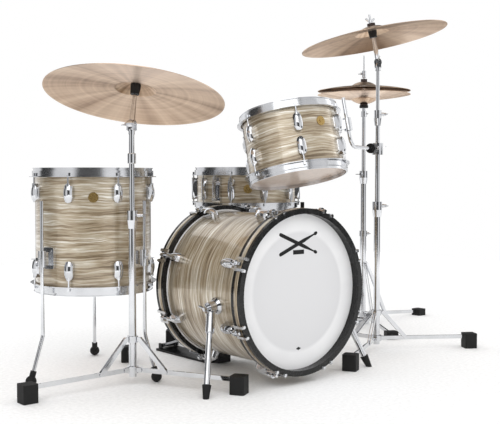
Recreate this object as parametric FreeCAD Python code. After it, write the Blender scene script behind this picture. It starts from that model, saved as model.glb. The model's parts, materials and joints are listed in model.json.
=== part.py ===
import FreeCAD, Part
import math
import os

# An acoustic drum kit: bass drum, floor tom, rack tom and snare drum, two suspended cymbals on
# flat-base stands, and a hi-hat.  Millimetres, +Z up, floor at Z = 0.
#
# The kit is laid out about the bass drum: its axis is at X = 0, the front face of its front hoop at
# Y = 0, the audience towards -Y and the drummer towards +Y.  At the end the whole kit is moved so
# that the origin is the middle of its footprint.
#
# Every drum is made upright at the origin with its middle plane at Z = 0, then set in its place.

V = FreeCAD.Vector
ORIGIN = V(0, 0, 0)
UP = V(0, 0, 1)

# ---- Clearances -----------------------------------------------------------------------------
SLIP = 0.3            # between pieces that move on each other
REST_GAP = 0.1        # between neighbours that are fastened together

# ---- Drum sizes: nominal shell radius and depth ------------------------------------------------
BASS_RADIUS = 228.6
BASS_DEPTH = 355.6
FLOOR_RADIUS = 177.8
FLOOR_DEPTH = 355.6
RACK_RADIUS = 152.4
RACK_DEPTH = 203.2
SNARE_RADIUS = 177.8
SNARE_DEPTH = 127.0
SHELL_WALL = 6.0

# ---- Where the drums stand -------------------------------------------------------------------
HOOP_RECESS = 27.0                    # front head behind the bass drum hoop's front face
BASS_MIDDLE = V(0, HOOP_RECESS + BASS_DEPTH / 2, 272)
FLOOR_MIDDLE = V(-383, 554.5, 449)
FLOOR_FACING = -120.3                 # compass angle, about +Z from +X, of the floor tom's badge
RACK_MIDDLE = V(161, 225, 713)
RACK_TILT = 13.5                      # lean of the rack tom's top towards the drummer, degrees
RACK_FIRST_LUG = -124.7
SNARE_MIDDLE = V(274, 598, 569.5)
SNARE_FIRST_LUG = -109.8

# ---- Drum heads and metal hoops, measured from the shell's outside and its bearing edge -----------
FILM = 1.0
COLLAR_INNER = 1.0
COLLAR_OUTER = 5.5
COLLAR_DROP = 11.0
HOOP_SHEET = 2.3
HOOP_RISE = 12.0
HOOP_DROP = 16.0
HOOP_TOP_INNER = 2.0
HOOP_WALL_INNER = 6.0
HOOP_FLANGE = 17.0
ROD_OFFSET = 12.5                     # tension rod's axis outside the shell
ROD_RADIUS = 2.75
ROD_HOLE = 3.2
WASHER_RADIUS = 4.0
KEY_HEAD = 6.0

# ---- Lugs ------------------------------------------------------------------------------------
LUG_HALF_LENGTH = 28.0
LUG_HALF_WIDTH = 13.5
LUG_DEPTH = 22.0
LUG_DOME_SPREAD = 1.35                # the casing's dome is this much wider than its outline
LUG_GAP = 20.0                        # bare rod between hoop and lug
LUG_BOSS = 6.2
LUG_BORE_DEPTH = 24.0
SNARE_LUG_HALF_LENGTH = 38.0
SNARE_LUG_DEPTH = 18.0
BADGE_RADIUS = 15.0
BADGE_THICKNESS = 1.6

# ---- Bass drum hoops, claws and spurs ------------------------------------------------------------
WOOD_HOOP_RADIUS = 247.5
WOOD_HOOP_WIDTH = 38.0
WOOD_HOOP_INNER = 2.5
WOOD_HOOP_RABBET = 6.2
BASS_ROD_OFFSET = 27.0
BASS_ROD_RADIUS = 3.0
BASS_LUG_DEPTH = 33.0
BASS_LUG_GAP = 12.0
CLAW_PRONG_SPREAD = 17.0
CLAW_PRONG_WIDTH = 8.0
CLAW_THICKNESS = 4.5
CLAW_BRIDGE = 10.0                    # length of the bar that joins the prongs
CLAW_GAP = 0.5                        # between the claw and the hoop's outer face
CLAW_KNOB_RADIUS = 6.0
CLAW_KNOB_RISE = 6.0
CLAW_EAR_RADIUS = 9.0
BASS_ROD_HEAD = 9.0
BASS_ROD_HEAD_LENGTH = 14.0
BASS_ROD_COLLAR = 6.0
SPUR_Y = 125.0
SPUR_DROP = 32.0
SPUR_TIP = V(330, 45, 0)
SPUR_TUBE_RADIUS = 9.0
SPUR_SLEEVE_RADIUS = 13.0
SPUR_DOME_RADIUS = 25.0
SPUR_DOME_HEIGHT = 13.0
SPUR_STUD_RADIUS = 5.0
SPUR_STUD_LENGTH = 40.0
SPUR_HUB_RADIUS = 17.0
SPUR_HUB_TOP = 35.0
SPUR_PIVOT_RISE = 24.0
SPUR_RUBBER_LENGTH = 44.0

# ---- Floor tom legs ---------------------------------------------------------------------------
LEG_RADIUS = 5.5
LEG_OFFSET = 34.0                     # leg's axis outside the floor tom's shell
LEG_TOP_Z = 540.0
LEG_BEND_Z = 141.0
LEG_FOOT_REACH = 258.0
LEG_BRACKET_Z = 370.0
LEG_FOOT_RADIUS = 16.0
LEG_ANGLES = {"left": -45.0, "right": 45.0, "rear": 180.0}   # from the badge

# ---- Rack tom arm -----------------------------------------------------------------------------
ARM_RADIUS = 6.0
ARM_OFFSET = 36.0                     # arm's upright outside the rack tom's shell
ARM_TOP = 135.0                       # along the tom's axis from its middle plane
ARM_BRACKET_HEIGHT = 45.0
ARM_BEND = 30.0
ARM_Z = 709.0                         # height of the arm's level run
ARM_BEFORE_TUBE = 40.0
CLAMP_COLLAR_RADIUS = 19.0
CLAMP_COLLAR_HEIGHT = 40.0
GRIP_START = 34.0                     # the black grip's ends, from the stand's axis
GRIP_END = 72.0
GRIP_RADIUS = 17.0

# ---- Stands -----------------------------------------------------------------------------------
BASE_TUBE = 11.1
MIDDLE_TUBE = 8.0
TOP_TUBE = 6.35
TUBE_WALL = 1.5
HUB_Z = 45.0
HUB_RADIUS = 17.0
BRACE_COLLAR_Z = 135.0
BRACE_FOOT_REACH = 107.0
BRACE_TOP_REACH = 24.0
LEG_PIVOT_REACH = 25.0
BASE_TUBE_FOOT = 24.0
BAR_HEIGHT = 13.0
BAR_THICKNESS = 6.0
STRAP_THICKNESS = 2.0
STRAP_GAP = 0.4
BOOT_WIDTH = 46.0
BOOT_HEIGHT = 52.0
BOOT_LENGTH = 44.0

LEFT_STAND = V(-390, 322, 0)
LEFT_LEG_ANGLES = (180.0, -60.0, 60.0)
LEFT_LEG_REACH = 335.0
LEFT_BASE_TOP = 505.0
LEFT_TUBE_TOP = 735.0
LEFT_LOCK_Z = 665.0
LEFT_PIVOT_Z = 765.0
LEFT_CYMBAL_RADIUS = 266.0
LEFT_CYMBAL_UP = V(0.215, 0.133, 0.967)
LEFT_CYMBAL_DISTANCE = 130.0          # tilt pivot to the underside of the cymbal's bell

RIGHT_STAND = V(548, 210, 0)
RIGHT_LEG_ANGLES = (-151.5, -30.0, 90.0)
RIGHT_LEG_REACH = 346.0
RIGHT_BASE_TOP = 516.0
RIGHT_MIDDLE_TOP = 835.0
RIGHT_TUBE_TOP = 980.0
RIGHT_PIVOT_Z = 1010.0
RIGHT_CYMBAL_RADIUS = 254.0
RIGHT_CYMBAL_UP = V(-0.119, 0.139, 0.983)
RIGHT_CYMBAL_DISTANCE = 126.0

TILTER_DISC_RADIUS = 13.0
TILTER_CHEEK_RADIUS = 11.0
TILTER_CHEEK_OFFSET = 9.5
TILTER_CHEEK = 4.0
TILTER_BOLT_RADIUS = 3.0
SPINDLE_RADIUS = 4.0
SPINDLE_RISE = 42.0                   # above the underside of the cymbal's bell
SLEEVE_RADIUS = 15.5                  # the black cup under the cymbal's felt
SLEEVE_HEIGHT = 30.0
SLEEVE_NECK = 5.6                     # the thin part that passes through the cymbal
FELT_RADIUS = 14.0
LOWER_FELT = 7.0
UPPER_FELT = 8.0
FELT_GAP = 2.0

CYMBAL_THICKNESS = 1.6
CYMBAL_HOLE = 6.5
BELL_RADIUS = 62.0
BELL_HEIGHT = 24.0
BOW_HEIGHT = 24.0

# ---- Snare stand ------------------------------------------------------------------------------
SNARE_LEG_ANGLES = (20.0, 140.0, 260.0)
SNARE_LEG_REACH = 270.0
SNARE_BASE_TOP = 330.0
SNARE_PIVOT_Z = 446.0
BASKET_ARM_ANGLES = (-164.0, -44.0, 76.0)
BASKET_ARM_Z = 470.0
GRIP_REACH = 197.0
GRIP_WIDTH = 34.0

# ---- Hi-hat -----------------------------------------------------------------------------------
HIHAT_STAND = V(948, 646, 0)
HIHAT_LEG_ANGLES = {"right": 0.0, "rear": 120.0, "front": 240.0}
HIHAT_LEG_REACH = 361.0
HIHAT_HUB_Z = 40.0
HIHAT_COLLAR_Z = 250.0
HIHAT_SLEEVE_TOP = 387.0
HIHAT_BOOT_HEIGHT = 28.0
HIHAT_BASE_TOP = 628.0
HIHAT_SEAT_Z = 912.0
HIHAT_RADIUS = 190.5
HIHAT_GAP = 15.0                      # between the rims, plus one cymbal thickness
HIHAT_PULL_TOP = 1112.0
PULL_ROD_RADIUS = 3.0
HIHAT_BRACE_REACH = 136.0
HIHAT_BELL_RADIUS = 55.0
HIHAT_BELL_HEIGHT = 20.0
HIHAT_BOW_HEIGHT = 18.0
HIHAT_HEEL_REACH = 345.0
HIHAT_TOE_REACH = 62.0
HIHAT_HEEL_Z = 20.0
HIHAT_TOE_Z = 78.0

# ---- Bass drum pedal --------------------------------------------------------------------------
PEDAL_AXLE_Y = 438.0
PEDAL_AXLE_Z = 165.0
PEDAL_BEATER_LENGTH = 125.0
PEDAL_BEATER_LEAN = 40.0
PEDAL_HEEL_Y = 700.0
PEDAL_HEEL_Z = 18.0
PEDAL_TOE_Y = 462.0
PEDAL_TOE_Z = 92.0


# ================================================================================================
# Plain shapes
# ================================================================================================
def polar(radius, degrees, z=0.0):
    """A point at a compass angle about the Z axis."""
    angle = math.radians(degrees)
    return V(radius * math.cos(angle), radius * math.sin(angle), z)


def unit(vector):
    return V(vector).normalize()


def rod(start, end, radius):
    """A solid round bar between two points."""
    axis = end - start
    return Part.makeCylinder(radius, axis.Length, start, axis)


def pipe(start, end, outer, inner):
    """A tube between two points."""
    return rod(start, end, outer).cut(rod(start, end, inner))


def ring(outer, inner, low, high):
    """A tube about the Z axis."""
    return pipe(V(0, 0, low), V(0, 0, high), outer, inner)


def turned(outline):
    """A body of revolution about Z from its closed (radius, height) outline."""
    points = [V(radius, 0, height) for radius, height in outline]
    face = Part.Face(Part.makePolygon(points + [points[0]]))
    return face.revolve(ORIGIN, UP, 360)


def block(low, high):
    """A box between two opposite corners."""
    size = high - low
    return Part.makeBox(size.x, size.y, size.z, low)


def softened(shape, radius, along=None):
    """Round the edges of a shape, or only those that run along one direction."""
    edges = shape.Edges
    if along is not None:
        edges = [edge for edge in edges if abs(unit(edge.tangentAt(edge.FirstParameter)).dot(along)) > 0.99]
    return shape.makeFillet(radius, edges)


def join(pieces):
    """Weld pieces into one solid."""
    return pieces[0].fuse(pieces[1:]).removeSplitter()


def group(pieces):
    """Keep pieces as separate solids of one node."""
    return Part.makeCompound(pieces)


def placed(shape, base, direction=UP, spin=0.0):
    """Turn a shape about Z by spin, point its Z axis along direction, and move it to base."""
    turn = FreeCAD.Rotation(UP, direction).multiply(FreeCAD.Rotation(UP, spin))
    moved = shape.copy()
    moved.Placement = FreeCAD.Placement(base, turn).multiply(shape.Placement)
    return moved


def turned_about(shape, degrees, centre=ORIGIN):
    """A copy turned about the vertical through a point."""
    moved = shape.copy()
    moved.rotate(centre, UP, degrees)
    return moved


def around(shape, angles):
    """Copies of a shape made at angle 0, one at each compass angle about Z."""
    return [turned_about(shape, angle) for angle in angles]


def evenly(first, count):
    return [first + 360.0 * step / count for step in range(count)]


def flipped(shape):
    """The same piece at the drum's other end."""
    return shape.mirror(ORIGIN, UP)


def both_ends(shape):
    return [shape, flipped(shape)]


def bent_rod(points, radius, bend):
    """A round bar of straight runs joined by tangent arcs."""
    edges = []
    start = points[0]
    for before, corner, after in zip(points, points[1:], points[2:]):
        back = unit(before - corner)
        ahead = unit(after - corner)
        half_angle = back.getAngle(ahead) / 2
        inward = unit(back + ahead)
        centre = corner + inward * (bend / math.sin(half_angle))
        arc_start = corner + back * (bend / math.tan(half_angle))
        arc_end = corner + ahead * (bend / math.tan(half_angle))
        edges.append(Part.LineSegment(start, arc_start).toShape())
        edges.append(Part.Arc(arc_start, centre - inward * bend, arc_end).toShape())
        start = arc_end
    edges.append(Part.LineSegment(start, points[-1]).toShape())
    section = Part.Wire(Part.makeCircle(radius, points[0], points[1] - points[0]))
    return Part.Wire(edges).makePipeShell([section], True, False)


def flat_bar(start, end, height, thickness, side=0.0):
    """A flat bar with rounded ends in the XZ plane, from one (x, z) point to another, centred at Y = side."""
    low = V(start[0], side - thickness / 2, start[1])
    high = V(end[0], side - thickness / 2, end[1])
    along = high - low
    across = V(-along.z, 0, along.x).normalize() * (height / 2)
    corners = [low + across, high + across, high - across, low - across]
    web = Part.Face(Part.makePolygon(corners + [corners[0]])).extrude(V(0, thickness, 0))
    ends = [Part.makeCylinder(height / 2, thickness, point, V(0, 1, 0)) for point in (low, high)]
    return join([web] + ends)


def strap_pair(start, end, height, thickness, gap):
    """Two flat bars either side of the XZ plane, gap apart."""
    side = gap / 2 + thickness / 2
    return [flat_bar(start, end, height, thickness, offset) for offset in (-side, side)]


def wing_nut(radius, span):
    """A wing nut standing on Z = 0: a short barrel with two raised ears along X."""
    barrel = Part.makeCylinder(radius, radius * 1.8)
    ears = []
    for side in (-1, 1):
        tip = V(side * span / 2, 0, radius * 2.2)
        ear = flat_bar((side * radius * 0.8, radius * 0.9), (tip.x, tip.z), radius * 1.1, radius * 0.5)
        ears.append(ear)
    return join([barrel] + ears)


# ================================================================================================
# Pieces that every drum has, made about the origin
# ================================================================================================
def drum_shell(radius, depth):
    return ring(radius, radius - SHELL_WALL, -depth / 2, depth / 2)


def drum_head(radius, depth):
    """The upper head: a film over the bearing edge and the collar that holds it outside the shell."""
    edge = depth / 2
    return turned([
        (0, edge),
        (radius + COLLAR_INNER, edge),
        (radius + COLLAR_INNER, edge - COLLAR_DROP),
        (radius + COLLAR_OUTER, edge - COLLAR_DROP),
        (radius + COLLAR_OUTER, edge + FILM),
        (0, edge + FILM),
    ])


def metal_hoop(radius, depth, rod_angles):
    """The upper triple-flanged hoop, with a hole in its lower flange for each tension rod."""
    edge = depth / 2
    lip = radius + HOOP_TOP_INNER
    wall = radius + HOOP_WALL_INNER
    flange = radius + HOOP_FLANGE
    hoop = turned([
        (lip, edge + FILM),
        (wall, edge + FILM),
        (wall, edge - HOOP_DROP),
        (flange, edge - HOOP_DROP),
        (flange, edge - HOOP_DROP + HOOP_SHEET),
        (wall + HOOP_SHEET, edge - HOOP_DROP + HOOP_SHEET),
        (wall + HOOP_SHEET, edge + FILM + HOOP_SHEET),
        (lip + HOOP_SHEET, edge + FILM + HOOP_SHEET),
        (lip + HOOP_SHEET, edge + HOOP_RISE - HOOP_SHEET),
        (lip + 2 * HOOP_SHEET, edge + HOOP_RISE - HOOP_SHEET),
        (lip + 2 * HOOP_SHEET, edge + HOOP_RISE),
        (lip, edge + HOOP_RISE),
    ])
    for angle in rod_angles:
        foot = polar(radius + ROD_OFFSET, angle, edge - HOOP_DROP - 1)
        hoop = hoop.cut(Part.makeCylinder(ROD_HOLE, HOOP_SHEET + 2, foot))
    return hoop


def tension_rod(radius, depth, lug_top):
    """A key-headed rod at angle 0, from the upper hoop's flange down into its lug."""
    axis_reach = radius + ROD_OFFSET
    seat = depth / 2 - HOOP_DROP + HOOP_SHEET
    washer = Part.makeCylinder(WASHER_RADIUS, 1.5, V(axis_reach, 0, seat))
    key = block(V(axis_reach - KEY_HEAD / 2, -KEY_HEAD / 2, seat + 1.5),
                V(axis_reach + KEY_HEAD / 2, KEY_HEAD / 2, seat + 10))
    shank = rod(V(axis_reach, 0, lug_top - LUG_BORE_DEPTH + 2), V(axis_reach, 0, seat), ROD_RADIUS)
    return join([shank, washer, key])


def lug_casing(radius, low, high, depth, half_width):
    """A round-ended casing on the shell at angle 0, domed lengthways and crossways."""
    outline = block(V(radius - depth / 2, -half_width, low), V(radius + depth, half_width, high))
    outline = softened(outline, half_width - REST_GAP, V(1, 0, 0))
    dome = Part.makeSphere(1)
    stretch = FreeCAD.Matrix()
    stretch.scale(depth, half_width * LUG_DOME_SPREAD, (high - low) / 2 * LUG_DOME_SPREAD)
    dome = dome.transformGeometry(stretch)
    dome.translate(V(radius, 0, (high + low) / 2))
    shell = Part.makeCylinder(radius + REST_GAP, 2 * (high - low), V(0, 0, low - (high - low) / 2))
    return outline.common(dome).cut(shell)


def tom_lug(radius, depth):
    """A lug for one rod, near the drum's upper end: the casing and the boss that the rod screws into."""
    top = depth / 2 - HOOP_DROP - LUG_GAP
    low = top - 2 * LUG_HALF_LENGTH
    axis_reach = radius + ROD_OFFSET
    casing = lug_casing(radius, low, top, LUG_DEPTH, LUG_HALF_WIDTH)
    boss = rod(V(axis_reach, 0, low + LUG_HALF_LENGTH), V(axis_reach, 0, top + 1), LUG_BOSS)
    bore = rod(V(axis_reach, 0, top - LUG_BORE_DEPTH), V(axis_reach, 0, top + 2), ROD_RADIUS + SLIP)
    return join([casing, boss]).cut(bore)


def snare_lug():
    """A double-ended lug across the middle of the snare drum's shell."""
    axis_reach = SNARE_RADIUS + ROD_OFFSET
    end = SNARE_LUG_HALF_LENGTH
    lug = lug_casing(SNARE_RADIUS, -end, end, SNARE_LUG_DEPTH, LUG_HALF_WIDTH - 2)
    lug = join([lug, rod(V(axis_reach, 0, -end - 1), V(axis_reach, 0, end + 1), LUG_BOSS)])
    for side in (-1, 1):
        mouth = V(axis_reach, 0, side * (end + 2))
        lug = lug.cut(rod(V(axis_reach, 0, side * (end - LUG_BORE_DEPTH)), mouth, ROD_RADIUS + SLIP))
    return lug


def badge(radius, height):
    """A plain round badge on the shell at angle 0, with its vent grommet."""
    plate = rod(V(radius - 10, 0, height), V(radius + BADGE_THICKNESS, 0, height), BADGE_RADIUS)
    grommet = rod(V(radius - 10, 0, height), V(radius + 2 * BADGE_THICKNESS, 0, height), BADGE_RADIUS / 3)
    shell = Part.makeCylinder(radius, 4 * BADGE_RADIUS, V(0, 0, height - 2 * BADGE_RADIUS))
    return join([plate, grommet]).cut(shell)


def tom_pieces(radius, depth, rod_angles):
    """Shell, heads, hoops, lugs and rods of a drum with separate lugs at each end."""
    lug_top = depth / 2 - HOOP_DROP - LUG_GAP
    hoop = metal_hoop(radius, depth, rod_angles)
    lugs = around(tom_lug(radius, depth), rod_angles)
    rods = around(tension_rod(radius, depth, lug_top), rod_angles)
    return {
        "heads": group(both_ends(drum_head(radius, depth))),
        "hoops": group(both_ends(hoop)),
        "lugs": group(lugs + [flipped(lug) for lug in lugs]),
        "tension_rods": group(rods + [flipped(piece) for piece in rods]),
    }


# ================================================================================================
# Bass drum: made with its front head at the top, then laid on its side
# ================================================================================================
def bass_hoop():
    """The front wooden hoop: a plain band with a rabbet over the head's collar."""
    edge = BASS_DEPTH / 2
    front = edge + HOOP_RECESS
    return turned([
        (BASS_RADIUS + WOOD_HOOP_INNER, edge + FILM),
        (BASS_RADIUS + WOOD_HOOP_RABBET, edge + FILM),
        (BASS_RADIUS + WOOD_HOOP_RABBET, front - WOOD_HOOP_WIDTH),
        (WOOD_HOOP_RADIUS, front - WOOD_HOOP_WIDTH),
        (WOOD_HOOP_RADIUS, front),
        (BASS_RADIUS + WOOD_HOOP_INNER, front),
    ])


def bass_claw():
    """A two-pronged claw at angle 0 over the front hoop, with its rod and the rod's square head."""
    front = BASS_DEPTH / 2 + HOOP_RECESS
    rear = front - WOOD_HOOP_WIDTH
    seat = WOOD_HOOP_RADIUS + CLAW_GAP
    top = seat + CLAW_THICKNESS
    low = rear + 2
    head_seat = low + CLAW_BRIDGE
    axis_reach = BASS_RADIUS + BASS_ROD_OFFSET
    half_prong = CLAW_PRONG_WIDTH / 2
    tip = front + CLAW_THICKNESS
    pieces = [block(V(seat, -CLAW_PRONG_SPREAD, low), V(top, CLAW_PRONG_SPREAD, head_seat))]
    for side in (-CLAW_PRONG_SPREAD, CLAW_PRONG_SPREAD):
        knob = V(top - CLAW_KNOB_RADIUS, side, front + REST_GAP)
        pieces.append(block(V(seat, side - half_prong, low), V(top, side + half_prong, tip)))
        pieces.append(Part.makeCone(CLAW_KNOB_RADIUS, CLAW_KNOB_RADIUS - 1.5, CLAW_KNOB_RISE, knob))
    ear = Part.makeCylinder(CLAW_EAR_RADIUS, CLAW_BRIDGE, V(axis_reach + 1, 0, low))
    pieces.append(ear.cut(Part.makeCylinder(seat, 2 * CLAW_BRIDGE, V(0, 0, rear - CLAW_BRIDGE / 2))))
    bore = rod(V(axis_reach, 0, rear), V(axis_reach, 0, head_seat + CLAW_BRIDGE), BASS_ROD_RADIUS + SLIP)
    claw = join(pieces).cut(bore)
    half_head = BASS_ROD_HEAD / 2
    head_top = head_seat + BASS_ROD_HEAD_LENGTH
    head = block(V(axis_reach - half_head, -half_head, head_seat), V(axis_reach + half_head, half_head, head_top))
    collar = Part.makeCylinder(BASS_ROD_COLLAR, 3, V(axis_reach, 0, head_seat))
    rod_end = rear - BASS_LUG_GAP - LUG_BORE_DEPTH + 2
    shank = rod(V(axis_reach, 0, rod_end), V(axis_reach, 0, head_seat), BASS_ROD_RADIUS)
    return [claw, join([shank, collar, head])]


def bass_lug():
    """A tall lug at angle 0 near the front hoop."""
    top = BASS_DEPTH / 2 + HOOP_RECESS - WOOD_HOOP_WIDTH - BASS_LUG_GAP
    low = top - 2 * LUG_HALF_LENGTH
    axis_reach = BASS_RADIUS + BASS_ROD_OFFSET
    casing = lug_casing(BASS_RADIUS, low, top, BASS_LUG_DEPTH, LUG_HALF_WIDTH)
    boss = rod(V(axis_reach, 0, low + LUG_HALF_LENGTH), V(axis_reach, 0, top + 1), LUG_BOSS)
    bore = rod(V(axis_reach, 0, top - LUG_BORE_DEPTH), V(axis_reach, 0, top + 2), BASS_ROD_RADIUS + SLIP)
    return join([casing, boss]).cut(bore)


def laid_down(shape):
    """Lay a drum made upright on its side, its top facing the audience."""
    moved = shape.copy()
    moved.rotate(ORIGIN, V(1, 0, 0), 90)
    moved.translate(BASS_MIDDLE)
    return moved


def bass_drum():
    angles = evenly(22.5, 8)
    lugs = around(bass_lug(), angles)
    claws = [copy for piece in bass_claw() for copy in around(piece, angles)]
    head = drum_head(BASS_RADIUS, BASS_DEPTH)
    return {
        "bass_drum_shell": laid_down(drum_shell(BASS_RADIUS, BASS_DEPTH)),
        "bass_drum_heads": laid_down(group(both_ends(head))),
        "bass_drum_hoops": laid_down(group(both_ends(bass_hoop()))),
        "bass_drum_lugs": laid_down(group(lugs + [flipped(lug) for lug in lugs])),
        "bass_drum_claws_and_rods": laid_down(group(claws + [flipped(claw) for claw in claws])),
    }


def spur_seat(side):
    """Where a spur's bracket stands on the shell, and the direction it faces."""
    drop = math.asin(SPUR_DROP / BASS_RADIUS)
    outward = V(side * math.cos(drop), 0, -math.sin(drop))
    seat = V(0, SPUR_Y, BASS_MIDDLE.z) + outward * BASS_RADIUS
    return seat, outward


def spur_bracket(side):
    """A domed bracket on the shell with the stud that the spur turns on."""
    seat, outward = spur_seat(side)
    dome = turned([
        (0, -6),
        (SPUR_DOME_RADIUS, -6),
        (SPUR_DOME_RADIUS, 6),
        (SPUR_DOME_RADIUS - 6, SPUR_DOME_HEIGHT),
        (SPUR_STUD_RADIUS, SPUR_DOME_HEIGHT),
        (SPUR_STUD_RADIUS, SPUR_STUD_LENGTH),
        (0, SPUR_STUD_LENGTH),
    ])
    shell = rod(V(0, 0, BASS_MIDDLE.z), V(0, BASS_DEPTH, BASS_MIDDLE.z), BASS_RADIUS + REST_GAP)
    return placed(dome, seat, outward).cut(shell)


def spur(side):
    """A folding spur: its hub on the bracket's stud, its tube, a lock collar and a rubber tip."""
    seat, outward = spur_seat(side)
    pivot = seat + outward * SPUR_PIVOT_RISE
    tip = V(side * SPUR_TIP.x, SPUR_TIP.y, SPUR_TIP.z)
    down = unit(tip - pivot)
    stud_end = seat + outward * SPUR_STUD_LENGTH
    stud_bore = SPUR_STUD_RADIUS + SLIP
    hub_low = seat + outward * (SPUR_DOME_HEIGHT + SLIP)
    hub_high = seat + outward * SPUR_HUB_TOP
    sleeve = rod(pivot + down * 18, pivot + down * 75, SPUR_SLEEVE_RADIUS)
    sleeve = sleeve.cut(rod(seat, stud_end, SPUR_HUB_RADIUS - 1))
    tube = rod(pivot + down * 70, tip - down * 34, SPUR_TUBE_RADIUS)
    chrome = join([pipe(hub_low, hub_high, SPUR_HUB_RADIUS, stud_bore), sleeve, tube])
    rubber_top = tip - down * (SPUR_RUBBER_LENGTH - 6)
    rubber = Part.makeCone(SPUR_SLEEVE_RADIUS, SPUR_TUBE_RADIUS - 1, SPUR_RUBBER_LENGTH, rubber_top, down)
    floor_cut = block(V(-1000, -1000, -50), V(1000, 1000, 0))
    nut = placed(wing_nut(6, 34), stud_end + outward * 0.5, outward, 60)
    knob = placed(Part.makeCylinder(9, 5), hub_high + outward * 0.5, outward).cut(rod(seat, stud_end, stud_bore))
    return group([chrome, rubber.cut(floor_cut).cut(tube), join([knob, nut])])


# ================================================================================================
# Floor tom
# ================================================================================================
def floor_tom_leg(angle):
    """A leg rod with a splayed foot and its rubber ball, made about the drum's axis from the floor."""
    reach = FLOOR_RADIUS + LEG_OFFSET
    ball = polar(LEG_FOOT_REACH, angle, LEG_FOOT_RADIUS)
    path = [polar(reach, angle, LEG_TOP_Z), polar(reach, angle, LEG_BEND_Z), ball]
    leg = bent_rod(path, LEG_RADIUS, 40)
    foot = Part.makeSphere(LEG_FOOT_RADIUS, ball)
    neck = rod(ball + unit(path[1] - ball) * 10, ball + unit(path[1] - ball) * 30, 9)
    foot = join([foot, neck]).cut(leg)
    return group([leg, foot])


def floor_tom_leg_bracket(angle):
    """The casting on the shell that clamps a leg, with a bore for the leg and a wing bolt."""
    reach = FLOOR_RADIUS + LEG_OFFSET
    low = LEG_BRACKET_Z - 32
    high = LEG_BRACKET_Z + 32
    base = softened(block(V(FLOOR_RADIUS - 8, -21, low), V(FLOOR_RADIUS + 9, 21, high)), 6, V(1, 0, 0))
    neck = block(V(FLOOR_RADIUS + 4, -10, low + 12), V(reach, 10, high - 12))
    barrel = rod(V(reach, 0, low + 8), V(reach, 0, high - 8), 12)
    bolt = placed(wing_nut(5, 34), V(reach + 11, 0, LEG_BRACKET_Z), V(1, 0, 0), 90)
    bracket = join([base, neck, barrel, bolt])
    bore = rod(V(reach, 0, low), V(reach, 0, high), LEG_RADIUS + SLIP)
    shell = Part.makeCylinder(FLOOR_RADIUS + REST_GAP, 100, V(0, 0, low - 10))
    return turned_about(bracket.cut(bore).cut(shell), angle)


def floor_tom():
    facing = FLOOR_FACING
    pieces = tom_pieces(FLOOR_RADIUS, FLOOR_DEPTH, evenly(facing + 22.5, 8))
    nodes = {"floor_tom_" + name: placed(shape, FLOOR_MIDDLE) for name, shape in pieces.items()}
    mark = turned_about(badge(FLOOR_RADIUS, 102), facing)
    nodes["floor_tom_shell"] = placed(group([drum_shell(FLOOR_RADIUS, FLOOR_DEPTH), mark]), FLOOR_MIDDLE)
    ground = V(FLOOR_MIDDLE.x, FLOOR_MIDDLE.y, 0)
    brackets = [floor_tom_leg_bracket(facing + turn) for turn in LEG_ANGLES.values()]
    nodes["floor_tom_leg_brackets"] = placed(group(brackets), ground)
    for name, turn in LEG_ANGLES.items():
        nodes["floor_tom_leg_" + name] = placed(floor_tom_leg(facing + turn), ground)
    return nodes


# ================================================================================================
# Rack tom, its arm and the clamp that holds it on the right cymbal stand
# ================================================================================================
def rack_axis():
    tilt = math.radians(RACK_TILT)
    return V(0, math.sin(tilt), math.cos(tilt))


def in_rack_tom(shape):
    """Set a piece made about an upright drum into the tilted rack tom's place."""
    moved = shape.copy()
    moved.rotate(ORIGIN, V(1, 0, 0), -RACK_TILT)
    moved.translate(RACK_MIDDLE)
    return moved


def rack_bracket_angle():
    """The bracket sits midway between two lugs, on the side of the stand."""
    return RACK_FIRST_LUG + 90.0


def rack_tom_bracket():
    """The bracket: a plate on the shell, a barrel for the arm's upright, and a wing bolt."""
    reach = RACK_RADIUS + ARM_OFFSET
    middle = ARM_BRACKET_HEIGHT
    base = block(V(RACK_RADIUS - 8, -22, middle - 28), V(RACK_RADIUS + 9, 22, middle + 28))
    base = softened(base, 8, V(1, 0, 0))
    neck = block(V(RACK_RADIUS + 4, -9, middle - 15), V(reach, 9, middle + 15))
    barrel = rod(V(reach, 0, middle - 21), V(reach, 0, middle + 21), 13)
    bolt = placed(wing_nut(5, 36), V(reach, 12, middle), V(0, 1, 0), 90)
    shell = Part.makeCylinder(RACK_RADIUS + REST_GAP, 100, V(0, 0, middle - 50))
    bore = rod(V(reach, 0, middle - 30), V(reach, 0, middle + 30), ARM_RADIUS + SLIP)
    return turned_about(join([base, neck, barrel, bolt]).cut(shell).cut(bore), rack_bracket_angle())


def arm_axis_point():
    """The arm's upright crosses the tom's middle plane here."""
    angle = math.radians(rack_bracket_angle())
    tilt = math.radians(RACK_TILT)
    reach = RACK_RADIUS + ARM_OFFSET
    across = V(math.cos(angle), math.sin(angle) * math.cos(tilt), -math.sin(angle) * math.sin(tilt))
    return RACK_MIDDLE + across * reach


def arm_route():
    """Top of the upright, the corner, and the end in the clamp."""
    axis = rack_axis()
    on_axis = arm_axis_point()
    top = on_axis + axis * ARM_TOP
    corner = on_axis + axis * ((ARM_Z - on_axis.z) / axis.z)
    tube = V(RIGHT_STAND.x, RIGHT_STAND.y, ARM_Z)
    toward = unit(tube - corner)
    return top, corner, tube - toward * ARM_BEFORE_TUBE


def tom_arm():
    return bent_rod(list(arm_route()), ARM_RADIUS, ARM_BEND)


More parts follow.
